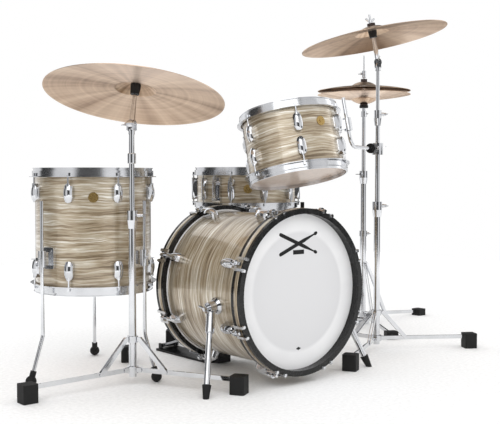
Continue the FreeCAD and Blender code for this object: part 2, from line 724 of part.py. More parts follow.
def tom_clamp():
    """The clamp on the stand's middle tube: a collar, a black block that holds the arm, a wing bolt."""
    tube = V(RIGHT_STAND.x, RIGHT_STAND.y, ARM_Z)
    back = unit(arm_route()[1] - tube)
    side = V(-back.y, back.x, 0)
    half = CLAMP_COLLAR_HEIGHT / 2
    collar = ring(CLAMP_COLLAR_RADIUS, MIDDLE_TUBE + SLIP, -half, half)
    collar.translate(tube)
    boss = rod(tube + back * MIDDLE_TUBE, tube + back * GRIP_START, 8)
    bolt = placed(wing_nut(6, 40), tube - back * (CLAMP_COLLAR_RADIUS - 2), ORIGIN - back, 90)
    tube_bore = rod(tube - UP * CLAMP_COLLAR_HEIGHT, tube + UP * CLAMP_COLLAR_HEIGHT, MIDDLE_TUBE + SLIP)
    grip = rod(tube + back * (GRIP_START + REST_GAP), tube + back * GRIP_END, GRIP_RADIUS)
    arm_start = tube + back * (ARM_BEFORE_TUBE - SLIP)
    grip = grip.cut(rod(arm_start, tube + back * (GRIP_END + 10), ARM_RADIUS + SLIP))
    grip_middle = tube + back * ((GRIP_START + GRIP_END) / 2)
    lever = placed(wing_nut(4, 30), grip_middle + side * (GRIP_RADIUS + REST_GAP), side, 0)
    return group([join([collar, boss, bolt]).cut(tube_bore), grip, lever])


def rack_tom():
    pieces = tom_pieces(RACK_RADIUS, RACK_DEPTH, evenly(RACK_FIRST_LUG, 6))
    nodes = {"rack_tom_" + name: in_rack_tom(shape) for name, shape in pieces.items()}
    mark = turned_about(badge(RACK_RADIUS, 38), RACK_FIRST_LUG + 30)
    nodes["rack_tom_shell"] = in_rack_tom(group([drum_shell(RACK_RADIUS, RACK_DEPTH), mark]))
    nodes["rack_tom_bracket"] = in_rack_tom(rack_tom_bracket())
    nodes["tom_arm"] = tom_arm()
    nodes["tom_clamp"] = tom_clamp()
    return nodes


# ================================================================================================
# Snare drum
# ================================================================================================
def snare_strainer():
    """Strainer plate, the butt plate opposite, and the strip of snare wires under the lower head."""
    reach = SNARE_RADIUS
    shell = Part.makeCylinder(reach + REST_GAP, 200, V(0, 0, -100))
    plate = block(V(reach - 6, -17, -46), V(reach + 7, 17, 40))
    boss = rod(V(reach + 5, 0, 18), V(reach + 13, 0, 18), 8)
    ledge = block(V(reach + 2, -6, 28), V(reach + 15, 6, 32))
    knob = rod(V(reach + 12, 0, 31), V(reach + 12, 0, 44), 7)
    strainer = join([plate, boss, ledge, knob]).cut(shell)
    butt = block(V(reach - 6, -17, -46), V(reach + 9, 17, -4)).cut(shell)
    lower_head = -SNARE_DEPTH / 2 - FILM
    wires = block(V(-145, -20, lower_head - 2.4), V(145, 20, lower_head - REST_GAP))
    return [strainer, turned_about(butt, 180), wires]


def strainer_lever():
    """The throw-off lever on the strainer's boss."""
    reach = SNARE_RADIUS + 13 + SLIP
    hub = rod(V(reach, 0, 18), V(reach + 6, 0, 18), 8)
    arm = block(V(reach, -5, -34), V(reach + 6, 5, 18))
    tip = rod(V(reach + 3, -9, -36), V(reach + 3, 9, -36), 4.5)
    return join([hub, arm, tip])


def snare_drum():
    angles = evenly(SNARE_FIRST_LUG, 10)
    strainer_angle = SNARE_FIRST_LUG - 54
    rods = around(tension_rod(SNARE_RADIUS, SNARE_DEPTH, SNARE_LUG_HALF_LENGTH), angles)
    strainer = [turned_about(piece, strainer_angle) for piece in snare_strainer()]
    mark = turned_about(badge(SNARE_RADIUS, 0), SNARE_FIRST_LUG - 18)
    shapes = {
        "snare_shell": group([drum_shell(SNARE_RADIUS, SNARE_DEPTH), mark]),
        "snare_heads": group(both_ends(drum_head(SNARE_RADIUS, SNARE_DEPTH))),
        "snare_hoops": group(both_ends(metal_hoop(SNARE_RADIUS, SNARE_DEPTH, angles))),
        "snare_lugs": group(around(snare_lug(), angles)),
        "snare_tension_rods": group(rods + [flipped(piece) for piece in rods]),
        "snare_strainer": group(strainer),
        "snare_strainer_lever": turned_about(strainer_lever(), strainer_angle),
    }
    return {name: placed(shape, SNARE_MIDDLE) for name, shape in shapes.items()}


# ================================================================================================
# Cymbals and their tilters
# ================================================================================================
def cymbal(radius, bell_radius=BELL_RADIUS, bell_height=BELL_HEIGHT, bow_height=BOW_HEIGHT):
    """A cymbal hanging from the underside of its bell at the origin: a domed bell and a gentle bow."""
    hole = V(CYMBAL_HOLE, 0, 0)
    shoulder = V(bell_radius * 0.62, 0, -bell_height * 0.33)
    bell_edge = V(bell_radius, 0, -bell_height)
    bow_middle = V((bell_radius + radius) / 2, 0, -bell_height - bow_height * 0.36)
    rim = V(radius, 0, -bell_height - bow_height)
    lift = V(0, 0, CYMBAL_THICKNESS)
    edges = [
        Part.Arc(hole, shoulder, bell_edge).toShape(),
        Part.Arc(bell_edge, bow_middle, rim).toShape(),
        Part.LineSegment(rim, rim + lift).toShape(),
        Part.Arc(rim + lift, bow_middle + lift, bell_edge + lift).toShape(),
        Part.Arc(bell_edge + lift, shoulder + lift, hole + lift).toShape(),
        Part.LineSegment(hole + lift, hole).toShape(),
    ]
    return Part.Face(Part.Wire(edges)).revolve(ORIGIN, UP, 360)


def tilt_axis(up):
    """The level axis that a positive turn about leans a rod further the way it leans now."""
    return unit(V(-up.y, up.x, 0))


def tilter_fork(foot, pivot, up):
    """The fixed half of a tilter: a socket on the tube and two cheeks, with the pivot bolt and wing nut."""
    axis = tilt_axis(up)
    radius = TILTER_CHEEK_RADIUS
    half = TILTER_CHEEK / 2
    socket = rod(foot, pivot - UP * 17, 9.5)
    floor_plate = rod(pivot - UP * 20, pivot - UP * 16, 12)
    cheeks = []
    for side in (-1, 1):
        middle = pivot + axis * (side * TILTER_CHEEK_OFFSET)
        cheek = Part.makeCylinder(radius, TILTER_CHEEK, middle - axis * half, axis)
        stem = block(V(-half, -radius, -18), V(half, radius, 0))
        stem = placed(stem, middle, UP, math.degrees(math.atan2(axis.y, axis.x)))
        cheeks += [cheek, stem]
    bolt = rod(pivot - axis * 16, pivot + axis * 13, TILTER_BOLT_RADIUS)
    head = placed(wing_nut(5, 34), pivot + axis * (TILTER_CHEEK_OFFSET + half), axis, 20)
    return join([socket, floor_plate] + cheeks + [bolt, head])


def tilter_rod(pivot, up, distance):
    """The moving half: a disc and stem, the black cup, the felts and the top wing nut."""
    axis = tilt_axis(up)
    bolt_bore = rod(pivot - axis * 8, pivot + axis * 8, TILTER_BOLT_RADIUS + SLIP)
    disc = rod(pivot - axis * 7, pivot + axis * 7, TILTER_DISC_RADIUS).cut(bolt_bore)
    inner = SPINDLE_RADIUS + REST_GAP
    below = distance - FELT_GAP
    above = distance + CYMBAL_THICKNESS + 0.6
    cup_top = below - LOWER_FELT
    cup_foot = cup_top - SLEEVE_HEIGHT
    stem = Part.makeCone(9, 6, cup_foot - 11 - REST_GAP, pivot + up * 11, up)
    spindle = rod(pivot + up * 40, pivot + up * (distance + SPINDLE_RISE), SPINDLE_RADIUS)
    sleeve = placed(turned([
        (inner, cup_foot),
        (SLEEVE_RADIUS - 2.5, cup_foot),
        (SLEEVE_RADIUS, cup_top - 3),
        (SLEEVE_RADIUS, cup_top),
        (SLEEVE_NECK, cup_top),
        (SLEEVE_NECK, above),
        (inner, above),
    ]), pivot, up)
    lower_felt = placed(ring(FELT_RADIUS, SLEEVE_NECK + REST_GAP, cup_top, below), pivot, up)
    upper_felt = placed(ring(FELT_RADIUS, SLEEVE_NECK + REST_GAP, above, above + UPPER_FELT), pivot, up)
    nut = placed(wing_nut(7, 38), pivot + up * (above + UPPER_FELT + 0.2), up)
    nut = nut.cut(rod(pivot, pivot + up * (distance + 2 * SPINDLE_RISE), inner))
    return group([join([disc, stem, spindle]), sleeve, lower_felt, upper_felt, nut])


# ================================================================================================
# Flat-base stands, made about the origin
# ================================================================================================
def boot(reach, height):
    """A square rubber boot on the end of a leg at angle 0."""
    half = BOOT_WIDTH / 2
    shape = block(V(reach - BOOT_LENGTH / 2, -half, 0), V(reach + BOOT_LENGTH / 2, half, height))
    return softened(shape, 5, UP)


def stand_leg(reach, hub_z, boot_height):
    """A flat leg at angle 0 and its boot."""
    bar = flat_bar((LEG_PIVOT_REACH, hub_z), (reach, boot_height - 12), BAR_HEIGHT, BAR_THICKNESS)
    return [bar, boot(reach, boot_height).cut(bar)]


def hub(z, angles):
    """The ring at the foot of a stand's tube, with a pair of ears for each leg."""
    pieces = [ring(HUB_RADIUS, BASE_TUBE - 0.5, z - 10, z + 10)]
    inner = BAR_THICKNESS / 2 + STRAP_GAP
    for side in (-1, 1):
        for angle in angles:
            ear = flat_bar((HUB_RADIUS - 4, z), (LEG_PIVOT_REACH, z), BAR_HEIGHT, 3, side * (inner + 1.5))
            pieces.append(turned_about(ear, angle))
    return join(pieces).cut(Part.makeCylinder(BASE_TUBE + REST_GAP, 60, V(0, 0, z - 30)))


def brace_ring(z, angles, bore):
    """The upper ring that the braces hang from, with one ear for each."""
    pieces = [ring(HUB_RADIUS - 1, bore - 0.5, z - 9, z + 9)]
    for angle in angles:
        ear = flat_bar((HUB_RADIUS - 5, z), (BRACE_TOP_REACH, z), BAR_HEIGHT, BAR_THICKNESS)
        pieces.append(turned_about(ear, angle))
    return join(pieces).cut(Part.makeCylinder(bore, 60, V(0, 0, z - 30)))


def braces(top_z, foot_reach, foot_z):
    """A pair of straps at angle 0, from the upper ring's ear to a leg."""
    gap = BAR_THICKNESS + 2 * STRAP_GAP
    return strap_pair((BRACE_TOP_REACH, top_z), (foot_reach, foot_z), BAR_HEIGHT, STRAP_THICKNESS, gap)


def tube_clamp(outer_tube, inner_tube, top, wing_angle):
    """The tapered clamp at the top of a tube that the next tube slides in, with its wing bolt."""
    grip = outer_tube + REST_GAP
    slide = inner_tube + SLIP
    body = turned([
        (grip, top - 45),
        (outer_tube + 2, top - 45),
        (outer_tube + 5.5, top - 20),
        (outer_tube + 5.5, top + 8),
        (slide, top + 8),
        (slide, top + REST_GAP),
        (grip, top + REST_GAP),
    ])
    boss = rod(V(outer_tube + 3, 0, top - 6), V(outer_tube + 13, 0, top - 6), 6)
    wing = placed(wing_nut(5, 36), V(outer_tube + 12, 0, top - 6), V(1, 0, 0), 90)
    return join([body, turned_about(boss, wing_angle), turned_about(wing, wing_angle)])


def leg_height_at(reach, leg_reach, hub_z, boot_height):
    """Height of a leg's middle line at a distance from the tube."""
    share = (reach - LEG_PIVOT_REACH) / (leg_reach - LEG_PIVOT_REACH)
    return hub_z + share * (boot_height - 12 - hub_z)


def flat_base(leg_angles, reach, tube_top, inner_tube, wing_angle):
    """Tube, hub, brace ring, clamp, and for each angle a leg, a boot and a pair of braces."""
    tube = ring(BASE_TUBE, inner_tube + SLIP, BASE_TUBE_FOOT, tube_top)
    brace_foot_z = leg_height_at(BRACE_FOOT_REACH, reach, HUB_Z, BOOT_HEIGHT)
    pieces = [
        tube,
        hub(HUB_Z, leg_angles),
        brace_ring(BRACE_COLLAR_Z, leg_angles, BASE_TUBE + REST_GAP),
        tube_clamp(BASE_TUBE, inner_tube, tube_top, wing_angle),
    ]
    leg = stand_leg(reach, HUB_Z, BOOT_HEIGHT) + braces(BRACE_COLLAR_Z, BRACE_FOOT_REACH, brace_foot_z)
    for piece in leg:
        pieces += around(piece, leg_angles)
    return group(pieces)


def left_stand():
    foot = LEFT_STAND
    up = unit(LEFT_CYMBAL_UP)
    pivot = foot + UP * LEFT_PIVOT_Z
    base = flat_base(LEFT_LEG_ANGLES, LEFT_LEG_REACH, LEFT_BASE_TOP, MIDDLE_TUBE, -40)
    tube = rod(V(0, 0, 240), V(0, 0, LEFT_TUBE_TOP), MIDDLE_TUBE)
    lock = softened(ring(12.5, MIDDLE_TUBE + REST_GAP, LEFT_LOCK_Z - 15, LEFT_LOCK_Z + 15), 2)
    fork = tilter_fork(foot + UP * LEFT_TUBE_TOP, pivot, up)
    plate = cymbal(LEFT_CYMBAL_RADIUS)
    return {
        "left_stand_base": placed(base, foot),
        "left_stand_upper_tube": group([placed(tube, foot), placed(lock, foot), fork]),
        "left_tilter": tilter_rod(pivot, up, LEFT_CYMBAL_DISTANCE),
        "left_cymbal": placed(plate, pivot + up * LEFT_CYMBAL_DISTANCE, up),
    }


def right_stand():
    foot = RIGHT_STAND
    up = unit(RIGHT_CYMBAL_UP)
    pivot = foot + UP * RIGHT_PIVOT_Z
    base = flat_base(RIGHT_LEG_ANGLES, RIGHT_LEG_REACH, RIGHT_BASE_TOP, MIDDLE_TUBE, -40)
    middle = ring(MIDDLE_TUBE, TOP_TUBE + SLIP, 230, RIGHT_MIDDLE_TOP)
    clamp = tube_clamp(MIDDLE_TUBE, TOP_TUBE, RIGHT_MIDDLE_TOP, -40)
    tube = rod(V(0, 0, 600), V(0, 0, RIGHT_TUBE_TOP), TOP_TUBE)
    fork = tilter_fork(foot + UP * RIGHT_TUBE_TOP, pivot, up)
    plate = cymbal(RIGHT_CYMBAL_RADIUS)
    return {
        "right_stand_base": placed(base, foot),
        "right_stand_middle_tube": placed(group([middle, clamp]), foot),
        "right_stand_upper_tube": group([placed(tube, foot), fork]),
        "right_tilter": tilter_rod(pivot, up, RIGHT_CYMBAL_DISTANCE),
        "right_cymbal": placed(plate, pivot + up * RIGHT_CYMBAL_DISTANCE, up),
    }


# ================================================================================================
# Snare stand
# ================================================================================================
def basket():
    """The cradle: a pivot block, three arms and the rubber grips that hold the lower hoop."""
    hoop_bottom = SNARE_MIDDLE.z - SNARE_DEPTH / 2 - HOOP_RISE
    block_top = BASKET_ARM_Z + 7
    pivot_block = block(V(-6.5, -13, SNARE_PIVOT_Z - 12), V(6.5, 13, SNARE_PIVOT_Z + 12))
    pivot_block = pivot_block.cut(rod(V(-10, 0, SNARE_PIVOT_Z), V(10, 0, SNARE_PIVOT_Z), 4 + SLIP))
    plate = Part.makeCylinder(26, block_top - SNARE_PIVOT_Z - 11, V(0, 0, SNARE_PIVOT_Z + 11))
    arm = join([
        flat_bar((20, BASKET_ARM_Z), (GRIP_REACH + 6, BASKET_ARM_Z), 11, 7),
        flat_bar((GRIP_REACH + 6, BASKET_ARM_Z), (GRIP_REACH + 6, BASKET_ARM_Z + 24), 10, 7),
    ])
    half_grip = GRIP_WIDTH / 2
    grip = join([
        block(V(GRIP_REACH + 0.5, -half_grip, hoop_bottom - 30), V(GRIP_REACH + 14, half_grip, hoop_bottom + 26)),
        block(V(GRIP_REACH - 20, -half_grip, hoop_bottom - 10), V(GRIP_REACH + 2, half_grip, hoop_bottom - SLIP)),
    ]).cut(arm)
    arms = around(arm, BASKET_ARM_ANGLES)
    return group([join([pivot_block, plate] + arms)] + around(grip, BASKET_ARM_ANGLES))


def snare_post():
    """The upper tube with the fork that the basket tilts in."""
    tube = rod(V(0, 0, 170), V(0, 0, SNARE_PIVOT_Z - 24), MIDDLE_TUBE)
    fork_foot = rod(V(0, 0, SNARE_PIVOT_Z - 24), V(0, 0, SNARE_PIVOT_Z - 16), 14)
    cheeks = [block(V(low, -10, SNARE_PIVOT_Z - 18), V(low + 4, 10, SNARE_PIVOT_Z + 6)) for low in (-11, 7)]
    bolt = rod(V(-11, 0, SNARE_PIVOT_Z), V(16, 0, SNARE_PIVOT_Z), 4)
    wing = placed(wing_nut(6, 36), V(12, 0, SNARE_PIVOT_Z), V(1, 0, 0), 90)
    return join([tube, fork_foot, bolt, wing] + cheeks)


def snare_stand():
    foot = V(SNARE_MIDDLE.x, SNARE_MIDDLE.y, 0)
    base = flat_base(SNARE_LEG_ANGLES, SNARE_LEG_REACH, SNARE_BASE_TOP, MIDDLE_TUBE, 80)
    return {
        "snare_stand_tripod": placed(base, foot),
        "snare_stand_post": placed(snare_post(), foot),
        "snare_basket": placed(basket(), foot),
    }


# ================================================================================================
# Hi-hat: its tripod folds, its pedal pulls the upper cymbal down
# ================================================================================================
def hihat_frame():
    """Lower tube, hub, clamp, foot block, radius rods, heel plate and hinge pin."""
    angles = list(HIHAT_LEG_ANGLES.values())
    tube = ring(BASE_TUBE, MIDDLE_TUBE + SLIP, BASE_TUBE_FOOT, HIHAT_BASE_TOP)
    heel = -HIHAT_HEEL_REACH
    foot_block = block(V(-30, -24, 2), V(14, 24, BASE_TUBE_FOOT))
    heel_plate = softened(block(V(heel - 34, -40, 0), V(heel + 22, 40, 9)), 5, UP)
    ears = [block(V(heel - 9, side - 3, 8), V(heel + 9, side + 3, HIHAT_HEEL_Z + 7)) for side in (-31, 31)]
    pin = rod(V(heel, -34, HIHAT_HEEL_Z), V(heel, 34, HIHAT_HEEL_Z), 3)
    rods = [rod(V(heel + 10, side, 6), V(-20, side, 6), 3) for side in (-18, 18)]
    return group([
        tube,
        hub(HIHAT_HUB_Z, angles),
        tube_clamp(BASE_TUBE, MIDDLE_TUBE, HIHAT_BASE_TOP, 200),
        join([heel_plate, pin, foot_block] + ears + rods),
    ])


def hihat_collar():
    """The sleeve that slides up the tube as the tripod folds, with the braces' ears and a lock bolt."""
    angles = list(HIHAT_LEG_ANGLES.values())
    bore = BASE_TUBE + SLIP
    sleeve = ring(BASE_TUBE + 1.8, bore, HIHAT_COLLAR_Z - 9, HIHAT_SLEEVE_TOP)
    lock = ring(BASE_TUBE + 5, bore, HIHAT_SLEEVE_TOP - 22, HIHAT_SLEEVE_TOP)
    wing = placed(wing_nut(5, 34), V(BASE_TUBE + 4, 0, HIHAT_SLEEVE_TOP - 11), V(1, 0, 0), 90)
    return join([brace_ring(HIHAT_COLLAR_Z, angles, bore), sleeve, lock, turned_about(wing, -40)])


def hihat_footboard():
    """The footboard on its heel hinge, with the link that pulls the rod down."""
    heel = -HIHAT_HEEL_REACH
    toe = -HIHAT_TOE_REACH
    board = flat_bar((heel, HIHAT_HEEL_Z), (toe, HIHAT_TOE_Z), 7, 50)
    side_rails = [flat_bar((heel + 40, HIHAT_HEEL_Z + 12), (toe, HIHAT_TOE_Z + 4), 8, 3, side)
                  for side in (-26, 26)]
    knuckle = rod(V(heel, -27, HIHAT_HEEL_Z), V(heel, 27, HIHAT_HEEL_Z), 7)
    bore = rod(V(heel, -60, HIHAT_HEEL_Z), V(heel, 60, HIHAT_HEEL_Z), 3 + SLIP)
    link = block(V(toe - 2, -5, HIHAT_TOE_Z), V(toe + 2, 5, HIHAT_TOE_Z + 60))
    return join([board, knuckle, link] + side_rails).cut(bore)


def hihat_upper_tube():
    """The tube in the clamp, with the black seat and felt that the lower cymbal rests on."""
    tube = ring(MIDDLE_TUBE, PULL_ROD_RADIUS + SLIP, 420, HIHAT_SEAT_Z - 16)
    seat = softened(ring(18, PULL_ROD_RADIUS + SLIP, HIHAT_SEAT_Z - 16, HIHAT_SEAT_Z - 5), 2)
    felt = ring(16, PULL_ROD_RADIUS + SLIP, HIHAT_SEAT_Z - 5, HIHAT_SEAT_Z - SLIP)
    screw = placed(wing_nut(4, 22), V(MIDDLE_TUBE - 1, 0, HIHAT_SEAT_Z - 40), V(1, 0, 0), 90)
    ferrule = ring(MIDDLE_TUBE + 4, MIDDLE_TUBE - 0.5, HIHAT_SEAT_Z - 52, HIHAT_SEAT_Z - 30)
    return group([join([tube, ferrule, turned_about(screw, -40)]), seat, felt])


def hihat_cymbal():
    return cymbal(HIHAT_RADIUS, HIHAT_BELL_RADIUS, HIHAT_BELL_HEIGHT, HIHAT_BOW_HEIGHT)


def hihat_apex():
    """Height of the upper cymbal's bell above the floor."""
    drop = HIHAT_BELL_HEIGHT + HIHAT_BOW_HEIGHT
    return HIHAT_SEAT_Z + 2 * drop + HIHAT_GAP


def hihat_pull_rod():
    """The rod inside the tubes and the clutch that holds the upper cymbal, with its felts and wing bolt."""
    apex = hihat_apex()
    bar = rod(V(0, 0, 440), V(0, 0, HIHAT_PULL_TOP), PULL_ROD_RADIUS)
    inner = PULL_ROD_RADIUS + REST_GAP
    clutch = ring(5.8, inner, apex - 14, apex + 18)
    body = softened(ring(8.5, inner, apex + 18, apex + 46), 1.5)
    lower_nut = ring(11, 5.9, apex - 13, apex - 8)
    lower_felt = ring(13, 5.9, apex - 8, apex - 1.6)
    upper_felt = ring(13, 5.9, apex + CYMBAL_THICKNESS + REST_GAP, apex + 12)
    wing = placed(wing_nut(4.5, 30), V(8, 0, apex + 34), V(1, 0, 0), 90)
    top = join([clutch, body, turned_about(wing, 150)])
    return group([bar, top, lower_nut, lower_felt, upper_felt])


def hihat():
    foot = HIHAT_STAND
    leg_foot_z = leg_height_at(HIHAT_BRACE_REACH, HIHAT_LEG_REACH, HIHAT_HUB_Z, HIHAT_BOOT_HEIGHT)
    lower = hihat_cymbal().rotated(ORIGIN, V(1, 0, 0), 180)
    nodes = {
        "hihat_frame": hihat_frame(),
        "hihat_collar": hihat_collar(),
        "hihat_upper_tube": hihat_upper_tube(),
        "hihat_bottom_cymbal": placed(lower, V(0, 0, HIHAT_SEAT_Z + CYMBAL_THICKNESS)),
        "hihat_top_cymbal": placed(hihat_cymbal(), V(0, 0, hihat_apex())),
        "hihat_pull_rod": hihat_pull_rod(),
        "hihat_footboard": hihat_footboard(),
    }
    for name, angle in HIHAT_LEG_ANGLES.items():
        leg = group(stand_leg(HIHAT_LEG_REACH, HIHAT_HUB_Z, HIHAT_BOOT_HEIGHT))
        brace = group(braces(HIHAT_COLLAR_Z, HIHAT_BRACE_REACH, leg_foot_z))
        nodes["hihat_leg_" + name] = turned_about(leg, angle)
        nodes["hihat_brace_" + name] = turned_about(brace, angle)
    return {name: placed(shape, foot) for name, shape in nodes.items()}


# ================================================================================================
# Bass drum pedal
# ================================================================================================
def pedal_frame():
    """Base plate, two posts, the hoop clamp, the heel hinge pin and the return spring."""
    hoop_low = BASS_MIDDLE.z - WOOD_HOOP_RADIUS
    drum_end = HOOP_RECESS + BASS_DEPTH + HOOP_RECESS
    plate = softened(block(V(-45, drum_end + 6, 0), V(45, PEDAL_HEEL_Y + 14, 7)), 5, UP)
    jaw = block(V(-24, drum_end - 32, 4), V(24, drum_end + 12, hoop_low - 0.5))
    posts = [block(V(low, PEDAL_AXLE_Y - 9, 5), V(low + 6, PEDAL_AXLE_Y + 9, PEDAL_AXLE_Z + 12))
             for low in (-44, 38)]
    posts = [post.cut(rod(V(-60, PEDAL_AXLE_Y, PEDAL_AXLE_Z), V(60, PEDAL_AXLE_Y, PEDAL_AXLE_Z), 5 + SLIP))
             for post in posts]
    ears = [block(V(side - 3, PEDAL_HEEL_Y - 9, 5), V(side + 3, PEDAL_HEEL_Y + 9, PEDAL_HEEL_Z + 7))
            for side in (-32, 32)]
    pin = rod(V(-35, PEDAL_HEEL_Y, PEDAL_HEEL_Z), V(35, PEDAL_HEEL_Y, PEDAL_HEEL_Z), 3)
    spring = rod(V(56, PEDAL_AXLE_Y, 24), V(56, PEDAL_AXLE_Y, PEDAL_AXLE_Z - 28), 7)
    spring_foot = block(V(36, PEDAL_AXLE_Y - 9, 12), V(66, PEDAL_AXLE_Y + 9, 24))
    return group([join([plate, jaw, pin, spring_foot] + posts + ears), spring])


def pedal_beater():
    """The axle with its cam, the beater rod leaning back, and the felt beater."""
    lean = math.radians(PEDAL_BEATER_LEAN)
    axle_point = V(0, PEDAL_AXLE_Y, PEDAL_AXLE_Z)
    along = V(0, math.sin(lean), math.cos(lean))
    forward = V(0, -math.cos(lean), math.sin(lean))
    axle = rod(V(-47, PEDAL_AXLE_Y, PEDAL_AXLE_Z), V(62, PEDAL_AXLE_Y, PEDAL_AXLE_Z), 5)
    cam = rod(V(-8, PEDAL_AXLE_Y, PEDAL_AXLE_Z), V(8, PEDAL_AXLE_Y, PEDAL_AXLE_Z), 16)
    end = axle_point + along * PEDAL_BEATER_LENGTH
    shaft = rod(axle_point + along * 10, end, 3.5)
    head = rod(end - forward * 20, end + forward * 24, 20).cut(shaft)
    return group([join([axle, cam, shaft]), head])


def pedal_footboard():
    """The footboard on its heel hinge, with the link up to the cam."""
    board = flat_bar((PEDAL_HEEL_Y, PEDAL_HEEL_Z), (PEDAL_TOE_Y, PEDAL_TOE_Z), 7, 52)
    link = block(V(PEDAL_TOE_Y - 2, -5, PEDAL_TOE_Z), V(PEDAL_TOE_Y + 2, 5, PEDAL_AXLE_Z - 18))
    knuckle = rod(V(PEDAL_HEEL_Y, -28, PEDAL_HEEL_Z), V(PEDAL_HEEL_Y, 28, PEDAL_HEEL_Z), 7)
    bore = rod(V(PEDAL_HEEL_Y, -60, PEDAL_HEEL_Z), V(PEDAL_HEEL_Y, 60, PEDAL_HEEL_Z), 3 + SLIP)
    return turned_about(join([board, link, knuckle]).cut(bore), 90)


def pedal():
    return {
        "pedal_frame": pedal_frame(),
        "pedal_beater": pedal_beater(),
        "pedal_footboard": pedal_footboard(),
    }


# ================================================================================================
# The whole kit
# ================================================================================================
def spurs():
    nodes = {"bass_drum_spur_brackets": group([spur_bracket(side) for side in (-1, 1)])}
    for name, side in (("left", -1), ("right", 1)):
        nodes["bass_drum_%s_spur" % name] = spur(side)
    return nodes


def whole_kit():
    nodes = {}
    for unit_nodes in (bass_drum(), spurs(), pedal(), floor_tom(), rack_tom(), snare_drum(),
                       snare_stand(), left_stand(), right_stand(), hihat()):
        nodes.update(unit_nodes)
    return nodes


def footprint_middle(nodes):
    """The middle of the kit's bounding box, on the floor."""
    box = group(list(nodes.values())).optimalBoundingBox(False)
    return V((box.XMin + box.XMax) / 2, (box.YMin + box.YMax) / 2, 0)


KIT = whole_kit()
SHIFT = V(0, 0, 0) - footprint_middle(KIT)

if __name__ == "__main__":
    os.makedirs("parts", exist_ok=True)
    for node, shape in KIT.items():
        placed(shape, SHIFT).exportStep("parts/" + node + ".step")
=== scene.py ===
import json
import math

import bmesh
import bpy
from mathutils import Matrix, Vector


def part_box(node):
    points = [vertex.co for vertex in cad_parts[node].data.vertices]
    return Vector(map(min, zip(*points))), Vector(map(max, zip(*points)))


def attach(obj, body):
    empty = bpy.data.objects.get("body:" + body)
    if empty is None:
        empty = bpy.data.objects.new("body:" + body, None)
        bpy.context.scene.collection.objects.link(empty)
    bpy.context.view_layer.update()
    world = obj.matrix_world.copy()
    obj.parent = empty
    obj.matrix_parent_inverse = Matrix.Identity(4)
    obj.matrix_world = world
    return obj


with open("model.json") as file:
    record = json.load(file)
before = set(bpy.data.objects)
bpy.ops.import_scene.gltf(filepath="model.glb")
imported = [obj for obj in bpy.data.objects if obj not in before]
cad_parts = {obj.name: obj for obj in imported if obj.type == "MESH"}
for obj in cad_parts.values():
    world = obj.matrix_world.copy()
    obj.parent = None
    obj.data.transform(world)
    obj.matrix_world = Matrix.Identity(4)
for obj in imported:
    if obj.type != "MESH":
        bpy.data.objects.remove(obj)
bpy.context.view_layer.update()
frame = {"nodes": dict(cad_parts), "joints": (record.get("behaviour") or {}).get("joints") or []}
NODES = frame["nodes"]
JOINTS = {joint["name"]: joint for joint in frame["joints"]}

# ---- Places taken from the frame ----------------------------------------------------------------
HOOPS_LOW, HOOPS_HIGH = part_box("bass_drum_hoops")
BASS_SHELL_LOW, BASS_SHELL_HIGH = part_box("bass_drum_shell")
BASS_X = (HOOPS_LOW.x + HOOPS_HIGH.x) / 2
BASS_Z = (HOOPS_LOW.z + HOOPS_HIGH.z) / 2
BASS_FRONT = HOOPS_LOW.y
BASS_HOOP_RADIUS = (HOOPS_HIGH.x - HOOPS_LOW.x) / 2
BASS_SHELL_RADIUS = (BASS_SHELL_HIGH.x - BASS_SHELL_LOW.x) / 2
BASS_HEAD_Y = BASS_SHELL_LOW.y - 0.001      # outer face of the front head
RACK_TILT = math.radians(13.5)              # the rack tom leans towards the player

# ---- Camera -------------------------------------------------------------------------------------
CAMERA_FROM_HOOP = Vector((-1.817, -1.916, 0))
CAMERA_HEIGHT = 0.611
CAMERA_HEADING = math.radians(-40)
CAMERA_PITCH = math.radians(-2.23)
CAMERA_LENS = 64.8
CAMERA_SENSOR = 36

# ---- Lights: name, place, width and height, power -----------------------------------------------
LIGHTS = [
    ("key", (-2.6, -2.4, 3.0), (4.0, 3.0), 62),
    ("fill", (2.8, -2.2, 2.2), (3.0, 3.0), 26),
    ("back", (0.6, 3.2, 2.6), (5.0, 4.0), 40),
]
LIGHT_TARGET = (0, 0, 0.55)

# ---- Room that the metal mirrors: places round the horizon from 0 to 1, with their brightness ---
ROOM_FLATS = [
    (0.0, 0.90), (0.06, 0.95),
    (0.09, 0.05), (0.20, 0.10),
    (0.23, 0.95), (0.335, 1.0),
    (0.355, 0.03), (0.42, 0.06),
    (0.45, 1.0), (0.57, 0.9),
    (0.60, 0.05), (0.69, 0.14),
    (0.72, 0.95), (0.83, 0.9),
    (0.85, 0.03), (0.93, 0.08),
    (0.96, 0.90),
]
ROOM_BLUE = 1.01
CEILING_FROM = 0.25                 # upward part of a direction, from 0 at the horizon to 1
CEILING_TO = 0.85
WALL_STRENGTH = 0.92
CEILING_STRENGTH = 0.30

# ---- Floor --------------------------------------------------------------------------------------
FLOOR_HALF = 3.4
FLOOR_PAINT = ("floor_paint", (0.93, 0.93, 0.93), 0.7, 0, 90.0, 0.004)     # as in PLAIN_FINISHES
# the floor's painted glow: none before the first distance from the kit, full strength past the second
FADE_START = 1.4
FADE_END = 3.4
FADE_GLOW = 0.24

# ---- Bass drum trim -----------------------------------------------------------------------------
HOOP_WIDTH = 0.038
INLAY_WIDTH = 0.015
INLAY_PROUD = 0.0004
INLAY_DEPTH = 0.001
INLAY_STEPS = 180
HEAD_RING = 0.78                    # muffling ring's radius, as a share of the shell's
RING_EDGE = (-0.006, 0.004)         # where the ring's edge starts and ends, from its radius

